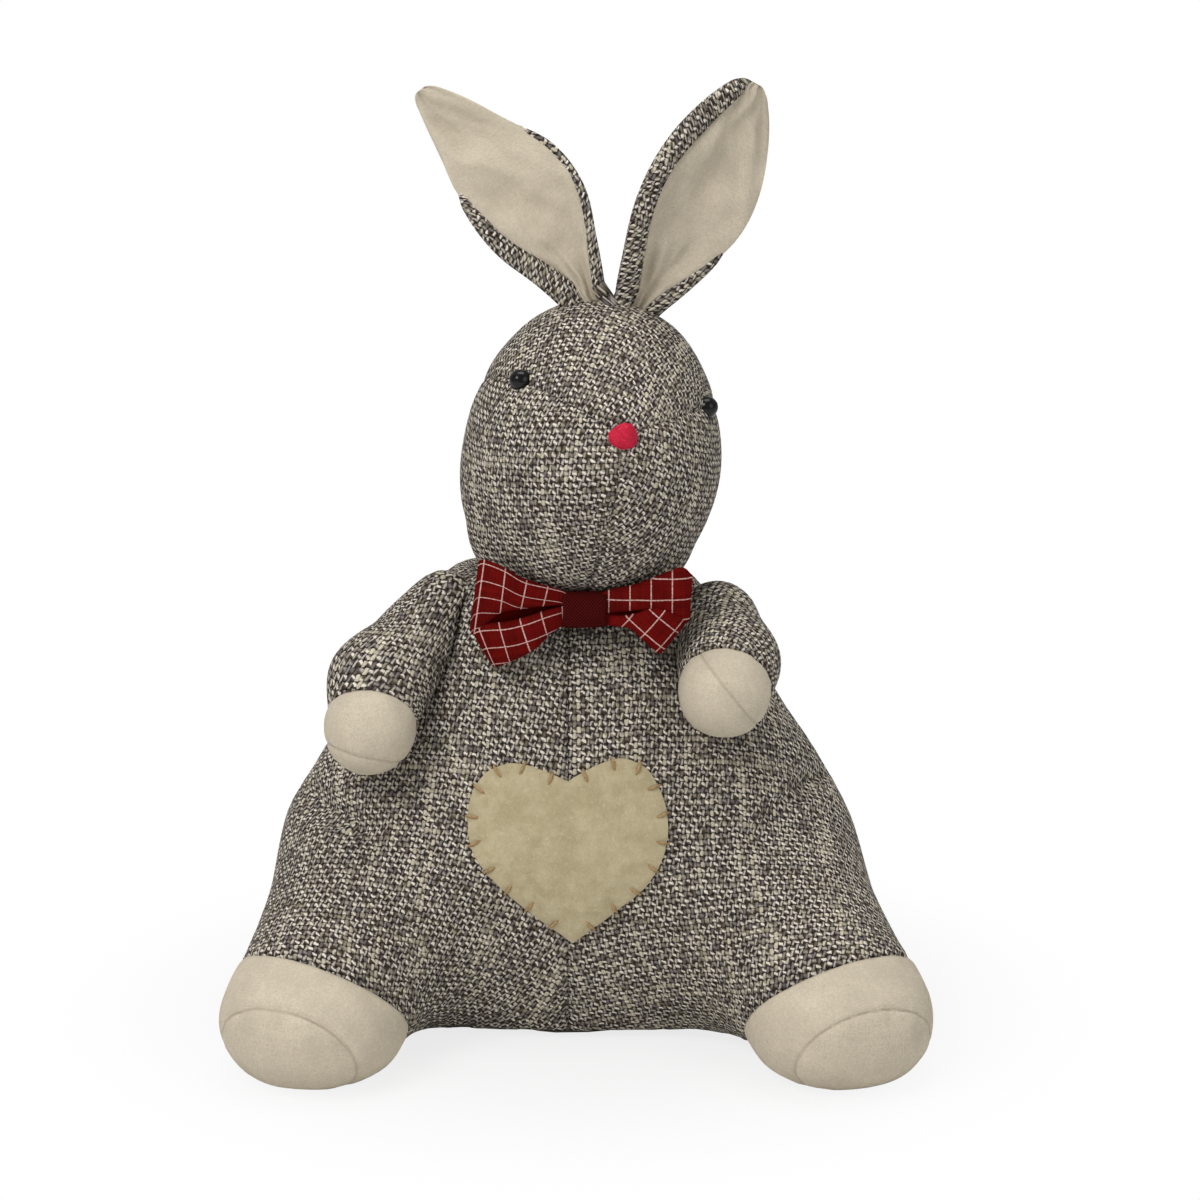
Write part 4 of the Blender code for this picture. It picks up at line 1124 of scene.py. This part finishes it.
def make_ear(side_name, side):
    """Tweed back and cream lining of one ear, seated on the crown."""
    ear = EARS[side_name]
    crown = Vector(HEAD_CENTRE) + head_turn() @ Vector((ear["root"], EAR_ROOT_BACK, CROWN[0][2]))
    up = head_turn() @ Vector((0.0, 0.0, 1.0))
    root = Vector(rays_out(head_field, np.array(crown), np.array([up]))[0])
    tip = Vector(ear["tip"])
    along = (tip - root).normalized()
    front = Vector(ear["facing"])
    front = (front - along * front.dot(along)).normalized()
    across = along.cross(front)
    length = (tip - root).length
    backs, linings = [], []
    for k in range(EAR_STATIONS):
        share = 1.0 - (1.0 - k / (EAR_STATIONS - 1)) ** 1.3
        half_width = interpolated(ear["widths"], share)
        if share > EAR_TIP_FROM:
            past = (share - EAR_TIP_FROM) / (1.0 - EAR_TIP_FROM)
            half_width *= math.sqrt(max(0.0, 1.0 - past**2)) * 0.75 + 0.25
        cup = interpolated(EAR_CUPS, share)

        def dent(place, share=share):
            spot = Vector((place * 2.2 + share * 1.6, share * 4.2, side * 3.0))
            offset = sum(height * noise.noise(spot * fineness) for fineness, height in EAR_DENTS)
            base = max(0.0, 1.0 - share / 0.50)
            for depth, start, drift, width in EAR_PINCHES:
                offset += depth * base * math.exp(-(((place - start - drift * share) / width) ** 2))
            return offset

        middle = root + along * (length * share) + across * ear["bend"] * 4.0 * share * (1.0 - share)
        wave = 0.0016 * math.sin(share * 7.0 + side) * share
        middle = middle + front * wave
        broad, thin = interpolated(ear["broad"], share), interpolated(ear["thin"], share)
        for rings, section in zip((backs, linings), ear_sections(half_width, cup, broad, thin, dent)):
            rings.append(np.array([middle + across * a + front * b for a, b in section]))
    for rings in (backs, linings):
        start = rings[0] + np.array(along) * EAR_ROOT_LIFT
        rings[0] = drop_onto(head_field, start, -np.array(along), -0.001)
    add_cloth("ear_back_" + side_name, loft(backs), "tweed")
    add_cloth("ear_lining_" + side_name, loft(linings), "cream_cotton")


# Bow tie: lobes of one folded cloth, each with the lines of its own lie

BOW_POINTS = 40
BOW_RINGS = 40
KNOT_RINGS = 28
KNOT_POINTS = 20
KNOT_HALF = (0.0078, 0.0043, 0.0053)
KNOT_WAIST = 0.0005  # how much narrower the band is in front
KNOT_CLOTH = 0.0008  # half the band's thickness
KNOT_SHIFT = (0.0007, 0.0, 0.0005)
# Each lobe's rings run out from the knot, in mm from its middle: x and z of the top point, x and z of the
# bottom point, half thickness, set forward. Its check follows the cloth: "cross" is where a line crosses the
# top edge, "first" and "pitch" are how far under the top edge the first line runs and how far apart they
# run, at the knot and at the wing's end. A lobe with a "turn" has a check that is laid straight across it,
# at that turn in degrees. A lobe of the cloth's inside lies deep in a fold and has its lines left off,
# as painted shade, so that the fold reads dark.
BOW_LOBES = (
    {"inside": True, "rings": (
        (-5.0, 5.0, -5.0, -3.0, 0.5, -3.0),
        (-7.6, 7.0, -9.0, -4.0, 0.6, -4.0),
        (-19.2, 10.0, -17.0, -11.0, 0.7, -4.6),
        (-26.6, 14.0, -24.0, -15.0, 0.7, -4.0),
        (-32.0, 16.0, -30.0, -15.0, 0.7, -3.0),
        (-34.0, 15.0, -33.0, -13.0, 0.5, -2.6),
    )},
    {"inside": True, "rings": (
        (5.0, 3.0, 5.0, -3.6, 0.5, -2.4),
        (12.0, 3.4, 12.0, -5.0, 0.6, -2.4),
        (20.0, 3.6, 18.0, -5.0, 0.6, -2.2),
        (27.0, 2.6, 25.0, -7.0, 0.6, -2.0),
        (30.0, 1.0, 28.0, -6.0, 0.4, -1.8),
    )},
    {"cross": -33.3, "first": (0.0, 1.5), "pitch": (3.0, 6.4), "rings": (
        (-5.0, 5.6, -5.0, 1.6, 1.6, 0.2),
        (-7.6, 7.7, -9.0, 2.2, 2.2, 0.5),
        (-19.2, 10.9, -21.3, 0.8, 3.2, 0.6),
        (-26.6, 15.4, -28.6, -1.0, 3.4, 0.4),
        (-33.1, 17.9, -36.8, -8.2, 2.8, -0.2),
        (-35.3, 17.4, -38.5, -7.0, 1.1, -0.7),
    )},
    {"cross": -35.7, "first": (1.9, 2.3), "pitch": (5.2, 6.5), "rings": (
        (-5.0, 2.4, -5.0, -3.8, 1.4, 0.6),
        (-12.7, 0.4, -10.7, -7.6, 2.4, 1.3),
        (-19.5, -1.8, -15.8, -12.7, 3.1, 1.6),
        (-26.4, -3.5, -23.0, -16.9, 3.2, 1.2),
        (-35.4, -4.6, -29.6, -19.6, 2.5, 0.2),
        (-38.3, -6.0, -31.6, -18.4, 1.0, -0.5),
    )},
    {"turn": 0.0, "start": (1.8, 4.5), "rings": (
        (5.0, 5.6, 5.0, -1.6, 1.2, 0.0),
        (10.0, 7.7, 10.0, -0.6, 2.2, 0.2),
        (18.0, 9.4, 18.0, 0.2, 3.0, 0.4),
        (26.0, 12.6, 26.0, -0.6, 3.2, 0.3),
        (33.8, 15.2, 34.0, -4.4, 2.5, -0.1),
        (37.6, 12.2, 36.6, -3.2, 1.0, -0.6),
    )},
    {"turn": 49.0, "start": (1.6, 1.0), "rings": (
        (5.0, 0.4, 5.0, -4.6, 1.0, 0.6),
        (12.0, -1.4, 12.6, -5.2, 1.5, 1.2),
        (18.2, -0.4, 16.6, -6.0, 1.9, 2.2),
        (25.4, 1.8, 21.4, -10.4, 2.2, 2.7),
        (33.0, -1.6, 26.0, -14.4, 1.8, 2.0),
        (35.2, -4.2, 28.0, -13.4, 0.7, 0.9),
    )},
)


def squarer(value, power):
    """A sine or cosine raised to a power below 1, with its sign kept, which squares an oval."""
    return math.copysign(abs(value) ** power, value)


def bow_lobe(lobe, middle, seed):
    """One lobe as a closed mesh, its map laid so that the check runs as its cloth lies."""
    table = lobe["rings"]
    shares = np.linspace(0.0, 1.0, len(table))
    columns = np.array(table).T
    spacing = CHECK_SPACING * 1000.0
    rings, spots = [], {}
    for k in range(BOW_RINGS):
        share = k / (BOW_RINGS - 1)
        values = [interpolated(list(zip(shares, column)), share) for column in columns]
        top, bottom = np.array(values[0:2]), np.array(values[2:4])
        ring = []
        for i in range(BOW_POINTS):
            angle = 2.0 * math.pi * i / BOW_POINTS
            height = squarer(math.sin(angle), 0.8)
            x, z = (top + bottom) / 2.0 + (top - bottom) / 2.0 * height
            crumple = 0.55 * noise.noise(Vector((x * 0.14, z * 0.26, seed)))
            depth = squarer(math.cos(angle), 0.85) * values[4] + values[5] + crumple
            # Deep lobes in the folds: white lines left off so that the fold reads dark, as painted shade
            if "inside" in lobe:
                u = v = spacing / 2.0
            elif "turn" in lobe:
                turn = math.radians(lobe["turn"])
                u = x * math.cos(turn) + z * math.sin(turn) - lobe["start"][0]
                v = z * math.cos(turn) - x * math.sin(turn) - lobe["start"][1]
            else:
                under = (0.5 - 0.5 * height) * np.linalg.norm(top - bottom)
                first, pitch = (np.interp(share, (0.0, 1.0), lobe[key]) for key in ("first", "pitch"))
                u = top[0] - lobe["cross"]
                v = (under - first) / pitch * spacing
            spots[(k, i)] = (u * 0.001, v * 0.001)
            ring.append(middle + Vector((x, -depth, z)) * 0.001)
        rings.append(ring)
    mesh = loft(rings)
    layer = mesh.loops.layers.uv.active
    mesh.verts.index_update()
    for face in mesh.faces:
        for loop in face.loops:
            loop[layer].uv = spots[divmod(loop.vert.index, BOW_POINTS)]
    return mesh


def make_bow():
    """The bow's folded cloth, and the knot band round its middle."""
    low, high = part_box("bow_knot")
    middle = (Vector(low) + Vector(high)) / 2.0
    cloth = joined([bow_lobe(lobe, middle, 3.7 * number) for number, lobe in enumerate(BOW_LOBES)])
    add_cloth("bow_tie", cloth, "red_check")
    rings = []
    for k in range(KNOT_RINGS):
        angle = 2.0 * math.pi * k / KNOT_RINGS
        half_width = KNOT_HALF[0] - KNOT_WAIST * math.cos(angle) ** 2
        ring = []
        for i in range(KNOT_POINTS):
            turn = 2.0 * math.pi * i / KNOT_POINTS
            side = squarer(math.cos(turn), 0.5) * half_width
            out = math.sin(turn) * KNOT_CLOTH
            out += 0.00035 * noise.noise(Vector((side * 260.0, angle * 1.3, 2.0)))
            depth = squarer(math.cos(angle), 0.6) * (KNOT_HALF[1] + out)
            height = math.sin(angle) * (KNOT_HALF[2] + out)
            ring.append(middle + Vector(KNOT_SHIFT) + Vector((side, -depth, height)))
        rings.append(ring)
    add_cloth("bow_knot", loft(rings + [rings[0]]), "knot_red")


# Heart patch and its stitches

HEART_X = -0.0030
HEART_HEIGHT = 0.0724
HEART_HALF = (0.03425, 0.03175)
HEART_SIDES = (
    # Outline from the dip to the point on the rabbit's left, and back on its right, each axis from -1 to 1
    ((0.0, 0.77), (0.14, 0.86), (0.31, 0.95), (0.53, 1.0), (0.75, 0.91), (0.90, 0.69), (0.98, 0.46),
     (1.0, 0.22), (0.93, -0.10), (0.77, -0.37), (0.50, -0.62), (0.22, -0.86), (0.05, -1.01)),
    ((0.05, -1.01), (-0.31, -0.71), (-0.60, -0.45), (-0.81, -0.22), (-0.95, 0.0), (-1.0, 0.31),
     (-0.95, 0.62), (-0.79, 0.85), (-0.52, 0.95), (-0.26, 0.89), (0.0, 0.77)),
)
HEART_START_Y = -0.160
HEART_POINTS = 200
HEART_RINGS = 26
HEART_GAP = 0.0006
FELT = 0.0013
STITCHES_PER_SIDE = 10
STITCH_SPAN = (0.06, 0.91)
STITCH_REACH = (0.0010, -0.0042)  # ends of a stitch, from the patch's edge outwards
STITCH_RADIUS = 0.00046
STITCH_SIDES = 8
STITCH_STEPS = 12
STITCH_PULL = (0.00045, 0.0011)  # how deep and how wide a stitch draws the felt in
FELT_SINK = 0.0008  # the patch's back lies that far under its gap


def heart_outline(count):
    """Points of the patch's outline, starting at the dip and running round."""
    points = []
    for side in HEART_SIDES:
        run = run_along(np.array(side))
        shares = run / run[-1]
        for share in np.linspace(0.0, 1.0, count // 2, endpoint=False):
            points.append([interpolated(list(zip(shares, values)), share) for values in zip(*side)])
    return np.array(points)


def on_belly(flat_points, gaps):
    """Points of the front view laid on the belly, each its own gap off the cover."""
    flat_points = np.array(flat_points)
    starts = np.zeros((len(flat_points), 3))
    starts[:, 0] = HEART_X + flat_points[:, 0]
    starts[:, 1] = HEART_START_Y
    starts[:, 2] = HEART_HEIGHT + flat_points[:, 1]
    places = drop_onto(torso_field, starts, (0.0, 1.0, 0.0), 0.0)
    rise = np.array(gaps) + lumps(places, *LUMPS, TORSO_SEED)
    return places + normals_of(torso_field, places) * rise[:, None]


def stitch_places():
    """Foot of each stitch on the outline and the direction outwards, in the front view."""
    outline = heart_outline(STITCHES_PER_SIDE * 40) * np.array(HEART_HALF)
    run = run_along(np.concatenate([outline, outline[:1]]))
    places = []
    shares = np.linspace(*STITCH_SPAN, STITCHES_PER_SIDE) / 2.0
    for number, share in enumerate([*shares, *(1.0 - shares)]):
        at = int(np.searchsorted(run[:-1], share * run[-1])) % len(outline)
        tangent = outline[(at + 2) % len(outline)] - outline[at - 2]
        tangent /= np.linalg.norm(tangent)
        outward = np.array((-tangent[1], tangent[0]))
        outward *= np.sign(outward @ outline[at]) or 1.0
        lean = 0.22 * math.sin(number * 2.4 + 0.7)
        places.append((outline[at], outward + tangent * lean))
    return places


def make_heart():
    """Felt patch: crowned a little, its cut edge rounded, drawn in under each stitch."""
    outline = heart_outline(HEART_POINTS) * np.array(HEART_HALF)
    stitches = [(foot, foot + out * STITCH_REACH[1]) for foot, out in stitch_places()]
    patch = bmesh.new()
    layer = patch.loops.layers.uv.new(MAP_NAME)
    shares = 1.0 - (np.arange(HEART_RINGS) / HEART_RINGS) ** 1.25
    ragged = np.array([noise.noise(Vector((x * 900.0, z * 900.0, 1.0))) for x, z in outline])
    layers = []
    for top in (True, False):
        flat, gaps = [], []
        for share in shares:
            ring = outline * share * (1.0 + 0.004 * ragged[:, None] * (share > 0.999))
            edge = 1.0 - math.exp(-(1.0 - share) * 22.0) * 0.45
            flat.extend(ring)
            gaps.extend([HEART_GAP + FELT * edge if top else HEART_GAP - FELT_SINK] * len(ring))
        flat.append(np.zeros(2))
        gaps.append(HEART_GAP + FELT if top else HEART_GAP - FELT_SINK)
        flat, gaps = np.array(flat), np.array(gaps)
        if top:
            for start, end in stitches:
                run = end - start
                share = np.clip((flat - start) @ run / (run @ run), 0.0, 1.0)
                distance = np.linalg.norm(flat - start - share[:, None] * run, axis=1)
                gaps -= dip(distance, *STITCH_PULL)
            gaps += 0.00012 * np.array([noise.noise(Vector((x * 160.0, z * 160.0, 4.0))) for x, z in flat])
        verts = [patch.verts.new(place) for place in on_belly(flat, gaps).tolist()]
        layers.append((verts, flat))
    for verts, flat in layers:
        for ring in range(HEART_RINGS):
            for i in range(HEART_POINTS):
                j = (i + 1) % HEART_POINTS
                a, b = ring * HEART_POINTS + i, ring * HEART_POINTS + j
                corners = [a, b]
                if ring < HEART_RINGS - 1:
                    corners += [b + HEART_POINTS, a + HEART_POINTS]
                else:
                    corners.append(HEART_RINGS * HEART_POINTS)
                face = patch.faces.new([verts[c] for c in corners])
                for loop, corner in zip(face.loops, corners):
                    loop[layer].uv = flat[corner]
    for i in range(HEART_POINTS):
        j = (i + 1) % HEART_POINTS
        patch.faces.new((layers[0][0][i], layers[0][0][j], layers[1][0][j], layers[1][0][i]))
    face_outward(patch)
    add_piece("heart_patch_felt", patch, "felt", ("heart_patch",))


def tube(path, radii):
    """Closed round tube along a path of points."""
    path = np.array(path)
    rings = []
    for k, place in enumerate(path):
        tangent = Vector(path[min(k + 1, len(path) - 1)] - path[max(k - 1, 0)]).normalized()
        side = tangent.cross(Vector((0.0, 1.0, 0.0))).normalized()
        rise = side.cross(tangent)
        ring = []
        for i in range(STITCH_SIDES):
            turn = 2.0 * math.pi * i / STITCH_SIDES
            offset = side * math.cos(turn) * 1.15 + rise * math.sin(turn) * 0.8
            ring.append(Vector(place) + offset * radii[k])
        rings.append(ring)
    return loft(rings)


def make_stitches():
    """Straight stitches of thread over the patch's edge, each end going down into the cloth."""
    made = []
    for foot, outward in stitch_places():
        shares = np.linspace(0.0, 1.0, STITCH_STEPS)
        reach = STITCH_REACH[0] + (STITCH_REACH[1] - STITCH_REACH[0]) * shares
        flat = foot + outward * reach[:, None]
        rise = np.sin(np.pi * shares) ** 0.45
        over_edge = np.where(reach > -0.0004, 0.0, 1.0)
        gaps = HEART_GAP + FELT * (0.55 + 0.30 * over_edge) * rise + 0.0002 * rise - 0.0004 * (1.0 - rise)
        radii = STITCH_RADIUS * (0.55 + 0.45 * np.sin(np.pi * shares) ** 0.4)
        made.append(tube(on_belly(flat, gaps), radii))
    nodes = [f"patch_stitch_{number:02d}" for number in range(1, 2 * STITCHES_PER_SIDE + 1)]
    add_piece("patch_stitches_thread", joined(made), "thread", nodes)


# Face

EYE_RADIUS = 0.0040
EYE_SINK = 0.0006
NOSE_HALF = (0.0052, 0.0060)
NOSE_HEIGHT = 0.0036
NOSE_SINK = 0.0002


def face_point(side_degrees, up_degrees):
    """Point on the head's surface in a direction from its centre, and the normal there."""
    ray = np.array([head_direction(side_degrees, up_degrees)])
    place = rays_out(head_field, np.array(HEAD_CENTRE), ray)
    return Vector(place[0]), Vector(normals_of(head_field, place)[0])


def round_outline(count, half, corners=0.0):
    """Points round an oval, with three soft corners where that isn't 0."""
    points = []
    for i in range(count):
        turn = 2.0 * math.pi * i / count
        reach = 1.0 + corners * math.cos(3.0 * turn + math.pi / 2.0)
        points.append((half[0] * reach * math.cos(turn), half[1] * reach * math.sin(turn)))
    return points


def dome(middle, outward, outline, height, rings):
    """Domed pad on the head: an outline of points round it, filled by rings that rise to the middle."""
    right = (head_turn() @ Vector((0.0, 0.0, 1.0))).cross(outward).normalized()
    up = outward.cross(right)
    mesh = bmesh.new()
    layer = mesh.loops.layers.uv.new(MAP_NAME)
    rows = []
    for k in range(rings):
        share = 1.0 - k / rings
        rise = height * math.sqrt(1.0 - share**2) - 0.0008 * (share > 0.999)
        row = []
        for x, z in outline:
            ripple = 0.00012 * noise.noise(Vector((x * 900.0, z * 900.0, share * 4.0)))
            place = middle + right * x * share + up * z * share + outward * (rise + ripple)
            row.append(mesh.verts.new(place))
        rows.append(row)
    top = mesh.verts.new(middle + outward * height)
    count = len(outline)
    for outer, inner in zip(rows, rows[1:]):
        for i in range(count):
            j = (i + 1) % count
            mesh.faces.new((outer[i], outer[j], inner[j], inner[i]))
    for i in range(count):
        mesh.faces.new((rows[-1][i], rows[-1][(i + 1) % count], top))
    mesh.faces.new(rows[0][::-1])
    for face in mesh.faces:
        for loop in face.loops:
            offset = loop.vert.co - middle
            loop[layer].uv = (offset.dot(right), offset.dot(up))
    face_outward(mesh)
    return mesh


def make_face():
    """Eye beads and the felt nose."""
    for name, side in (("left", 1), ("right", -1)):
        seat, normal = face_point(side * EYE_SIDE, EYE_UP)
        outline = round_outline(48, (EYE_RADIUS, EYE_RADIUS))
        bead_mesh = dome(seat - normal * EYE_SINK, normal, outline, EYE_RADIUS + EYE_SINK, 20)
        add_piece("eye_" + name + "_bead", bead_mesh, "eye_black", ("eye_" + name,))
    seat, normal = face_point(0.0, NOSE_UP)
    outline = round_outline(60, NOSE_HALF, 0.08)
    nose = dome(seat - normal * NOSE_SINK, normal, outline, NOSE_HEIGHT, 14)
    add_piece("nose_felt", nose, "nose_red", ("nose",))


# Camera, light and floor

CAMERA_TARGET = Vector((0.008, 0.0, 0.1485))
CAMERA_ELEVATION = math.radians(14.0)
CAMERA_DISTANCE = 1.6
METRES_PER_PIXEL = 0.00035
PIXELS = 1200
SENSOR = 36.0
LIGHTS = {  # place, size and power
    "key": ((-0.80, -1.00, 1.25), 0.9, 16.5),
    "fill": ((1.15, -0.95, 0.75), 1.1, 4.0),
    "top": ((0.10, 0.10, 1.70), 1.2, 13.0),
}
LIT_POINT = Vector((0.0, 0.0, 0.13))
WORLD_LIGHT = 0.36
FLOOR_RADIUS = 6.0
FLOOR_SHADE = 0.86
FLOOR_FADE = (0.07, 0.20)  # from there on outwards the floor fades to white


def look_at(item, target):
    """Turns a camera or a light to a point."""
    item.rotation_mode = "QUATERNION"
    item.rotation_quaternion = (target - item.location).to_track_quat("-Z", "Y")


def make_camera():
    """The photograph's point of view, its scale set at the camera's target."""
    camera = bpy.data.objects.new("camera", bpy.data.cameras.new("camera"))
    bpy.context.scene.collection.objects.link(camera)
    back = Vector((0.0, -math.cos(CAMERA_ELEVATION), math.sin(CAMERA_ELEVATION)))
    camera.location = CAMERA_TARGET + back * CAMERA_DISTANCE
    look_at(camera, CAMERA_TARGET)
    camera.data.sensor_width = SENSOR
    camera.data.lens = SENSOR * CAMERA_DISTANCE / METRES_PER_PIXEL / PIXELS
    bpy.context.scene.camera = camera


def make_lights():
    """Soft round lights."""
    for name, (place, size, power) in LIGHTS.items():
        lamp = bpy.data.lights.new(name, "AREA")
        lamp.shape = "DISK"
        lamp.size = size
        lamp.energy = power
        item = bpy.data.objects.new(name, lamp)
        bpy.context.scene.collection.objects.link(item)
        item.location = place
        look_at(item, LIT_POINT)


def make_world():
    """White to the camera, and a softer light all round."""
    world = bpy.data.worlds.new("studio")
    bpy.context.scene.world = world
    world.use_nodes = True
    nodes, links = world.node_tree.nodes, world.node_tree.links
    path = nodes.new("ShaderNodeLightPath")
    seen = nodes.new("ShaderNodeMapRange")
    links.new(path.outputs["Is Camera Ray"], seen.inputs["Value"])
    seen.inputs["To Min"].default_value = WORLD_LIGHT
    seen.inputs["To Max"].default_value = 1.0
    nodes["Background"].inputs["Color"].default_value = (1.0, 1.0, 1.0, 1.0)
    links.new(seen.outputs["Result"], nodes["Background"].inputs["Strength"])


def make_floor():
    """Pale floor, which fades to white round the rabbit as the camera sees it."""
    disc = bmesh.new()
    bmesh.ops.create_circle(disc, cap_ends=True, segments=96, radius=FLOOR_RADIUS)
    data = bpy.data.meshes.new("floor")
    disc.to_mesh(data)
    disc.free()
    item = bpy.data.objects.new("floor", data)
    bpy.context.scene.collection.objects.link(item)
    g = Weave("pale_floor", 0.8, 0.5)
    g.finish((FLOOR_SHADE, FLOOR_SHADE, FLOOR_SHADE))
    far = g.node("ShaderNodeVectorMath", operation="LENGTH")
    g.feed(far.inputs[0], g.place())
    fade = g.node("ShaderNodeMapRange", interpolation_type="SMOOTHSTEP")
    g.feed(fade.inputs["Value"], far.outputs["Value"])
    limits = {"From Min": FLOOR_FADE[0], "From Max": FLOOR_FADE[1], "To Min": FLOOR_SHADE, "To Max": 1.0}
    for key, value in limits.items():
        fade.inputs[key].default_value = value
    glow = g.node("ShaderNodeEmission")
    g.feed(glow.inputs["Strength"], g.math("SQRT", fade.outputs["Result"]))
    seen = g.times(g.node("ShaderNodeLightPath").outputs["Is Camera Ray"], fade.outputs["Result"])
    mix = g.node("ShaderNodeMixShader")
    for socket, value in zip(mix.inputs, (seen, g.shader.outputs[0], glow.outputs[0])):
        g.feed(socket, value)
    g.feed(g.tree.nodes["Material Output"].inputs["Surface"], mix.outputs[0])
    data.materials.append(g.material)


def dress_frame():
    """Gives every CAD node that still shows a finished material."""
    slots = {part["node"]: part["material_slot"] for part in frame["record"]["subparts"]}
    for name, item in frame["nodes"].items():
        item.data.materials.clear()
        item.data.materials.append(MATERIALS[slots[name]])


bpy.context.scene.view_settings.view_transform = "Standard"
make_camera()
make_lights()
make_world()
make_floor()
dress_frame()
make_torso()
make_feet()
make_head()
make_filling("torso_filling", torso_field)
make_filling("head_filling", head_field)
make_arm("right")
make_arm("left")
make_ear("right", -1)
make_ear("left", 1)
make_bow()
make_heart()
make_stitches()
make_face()
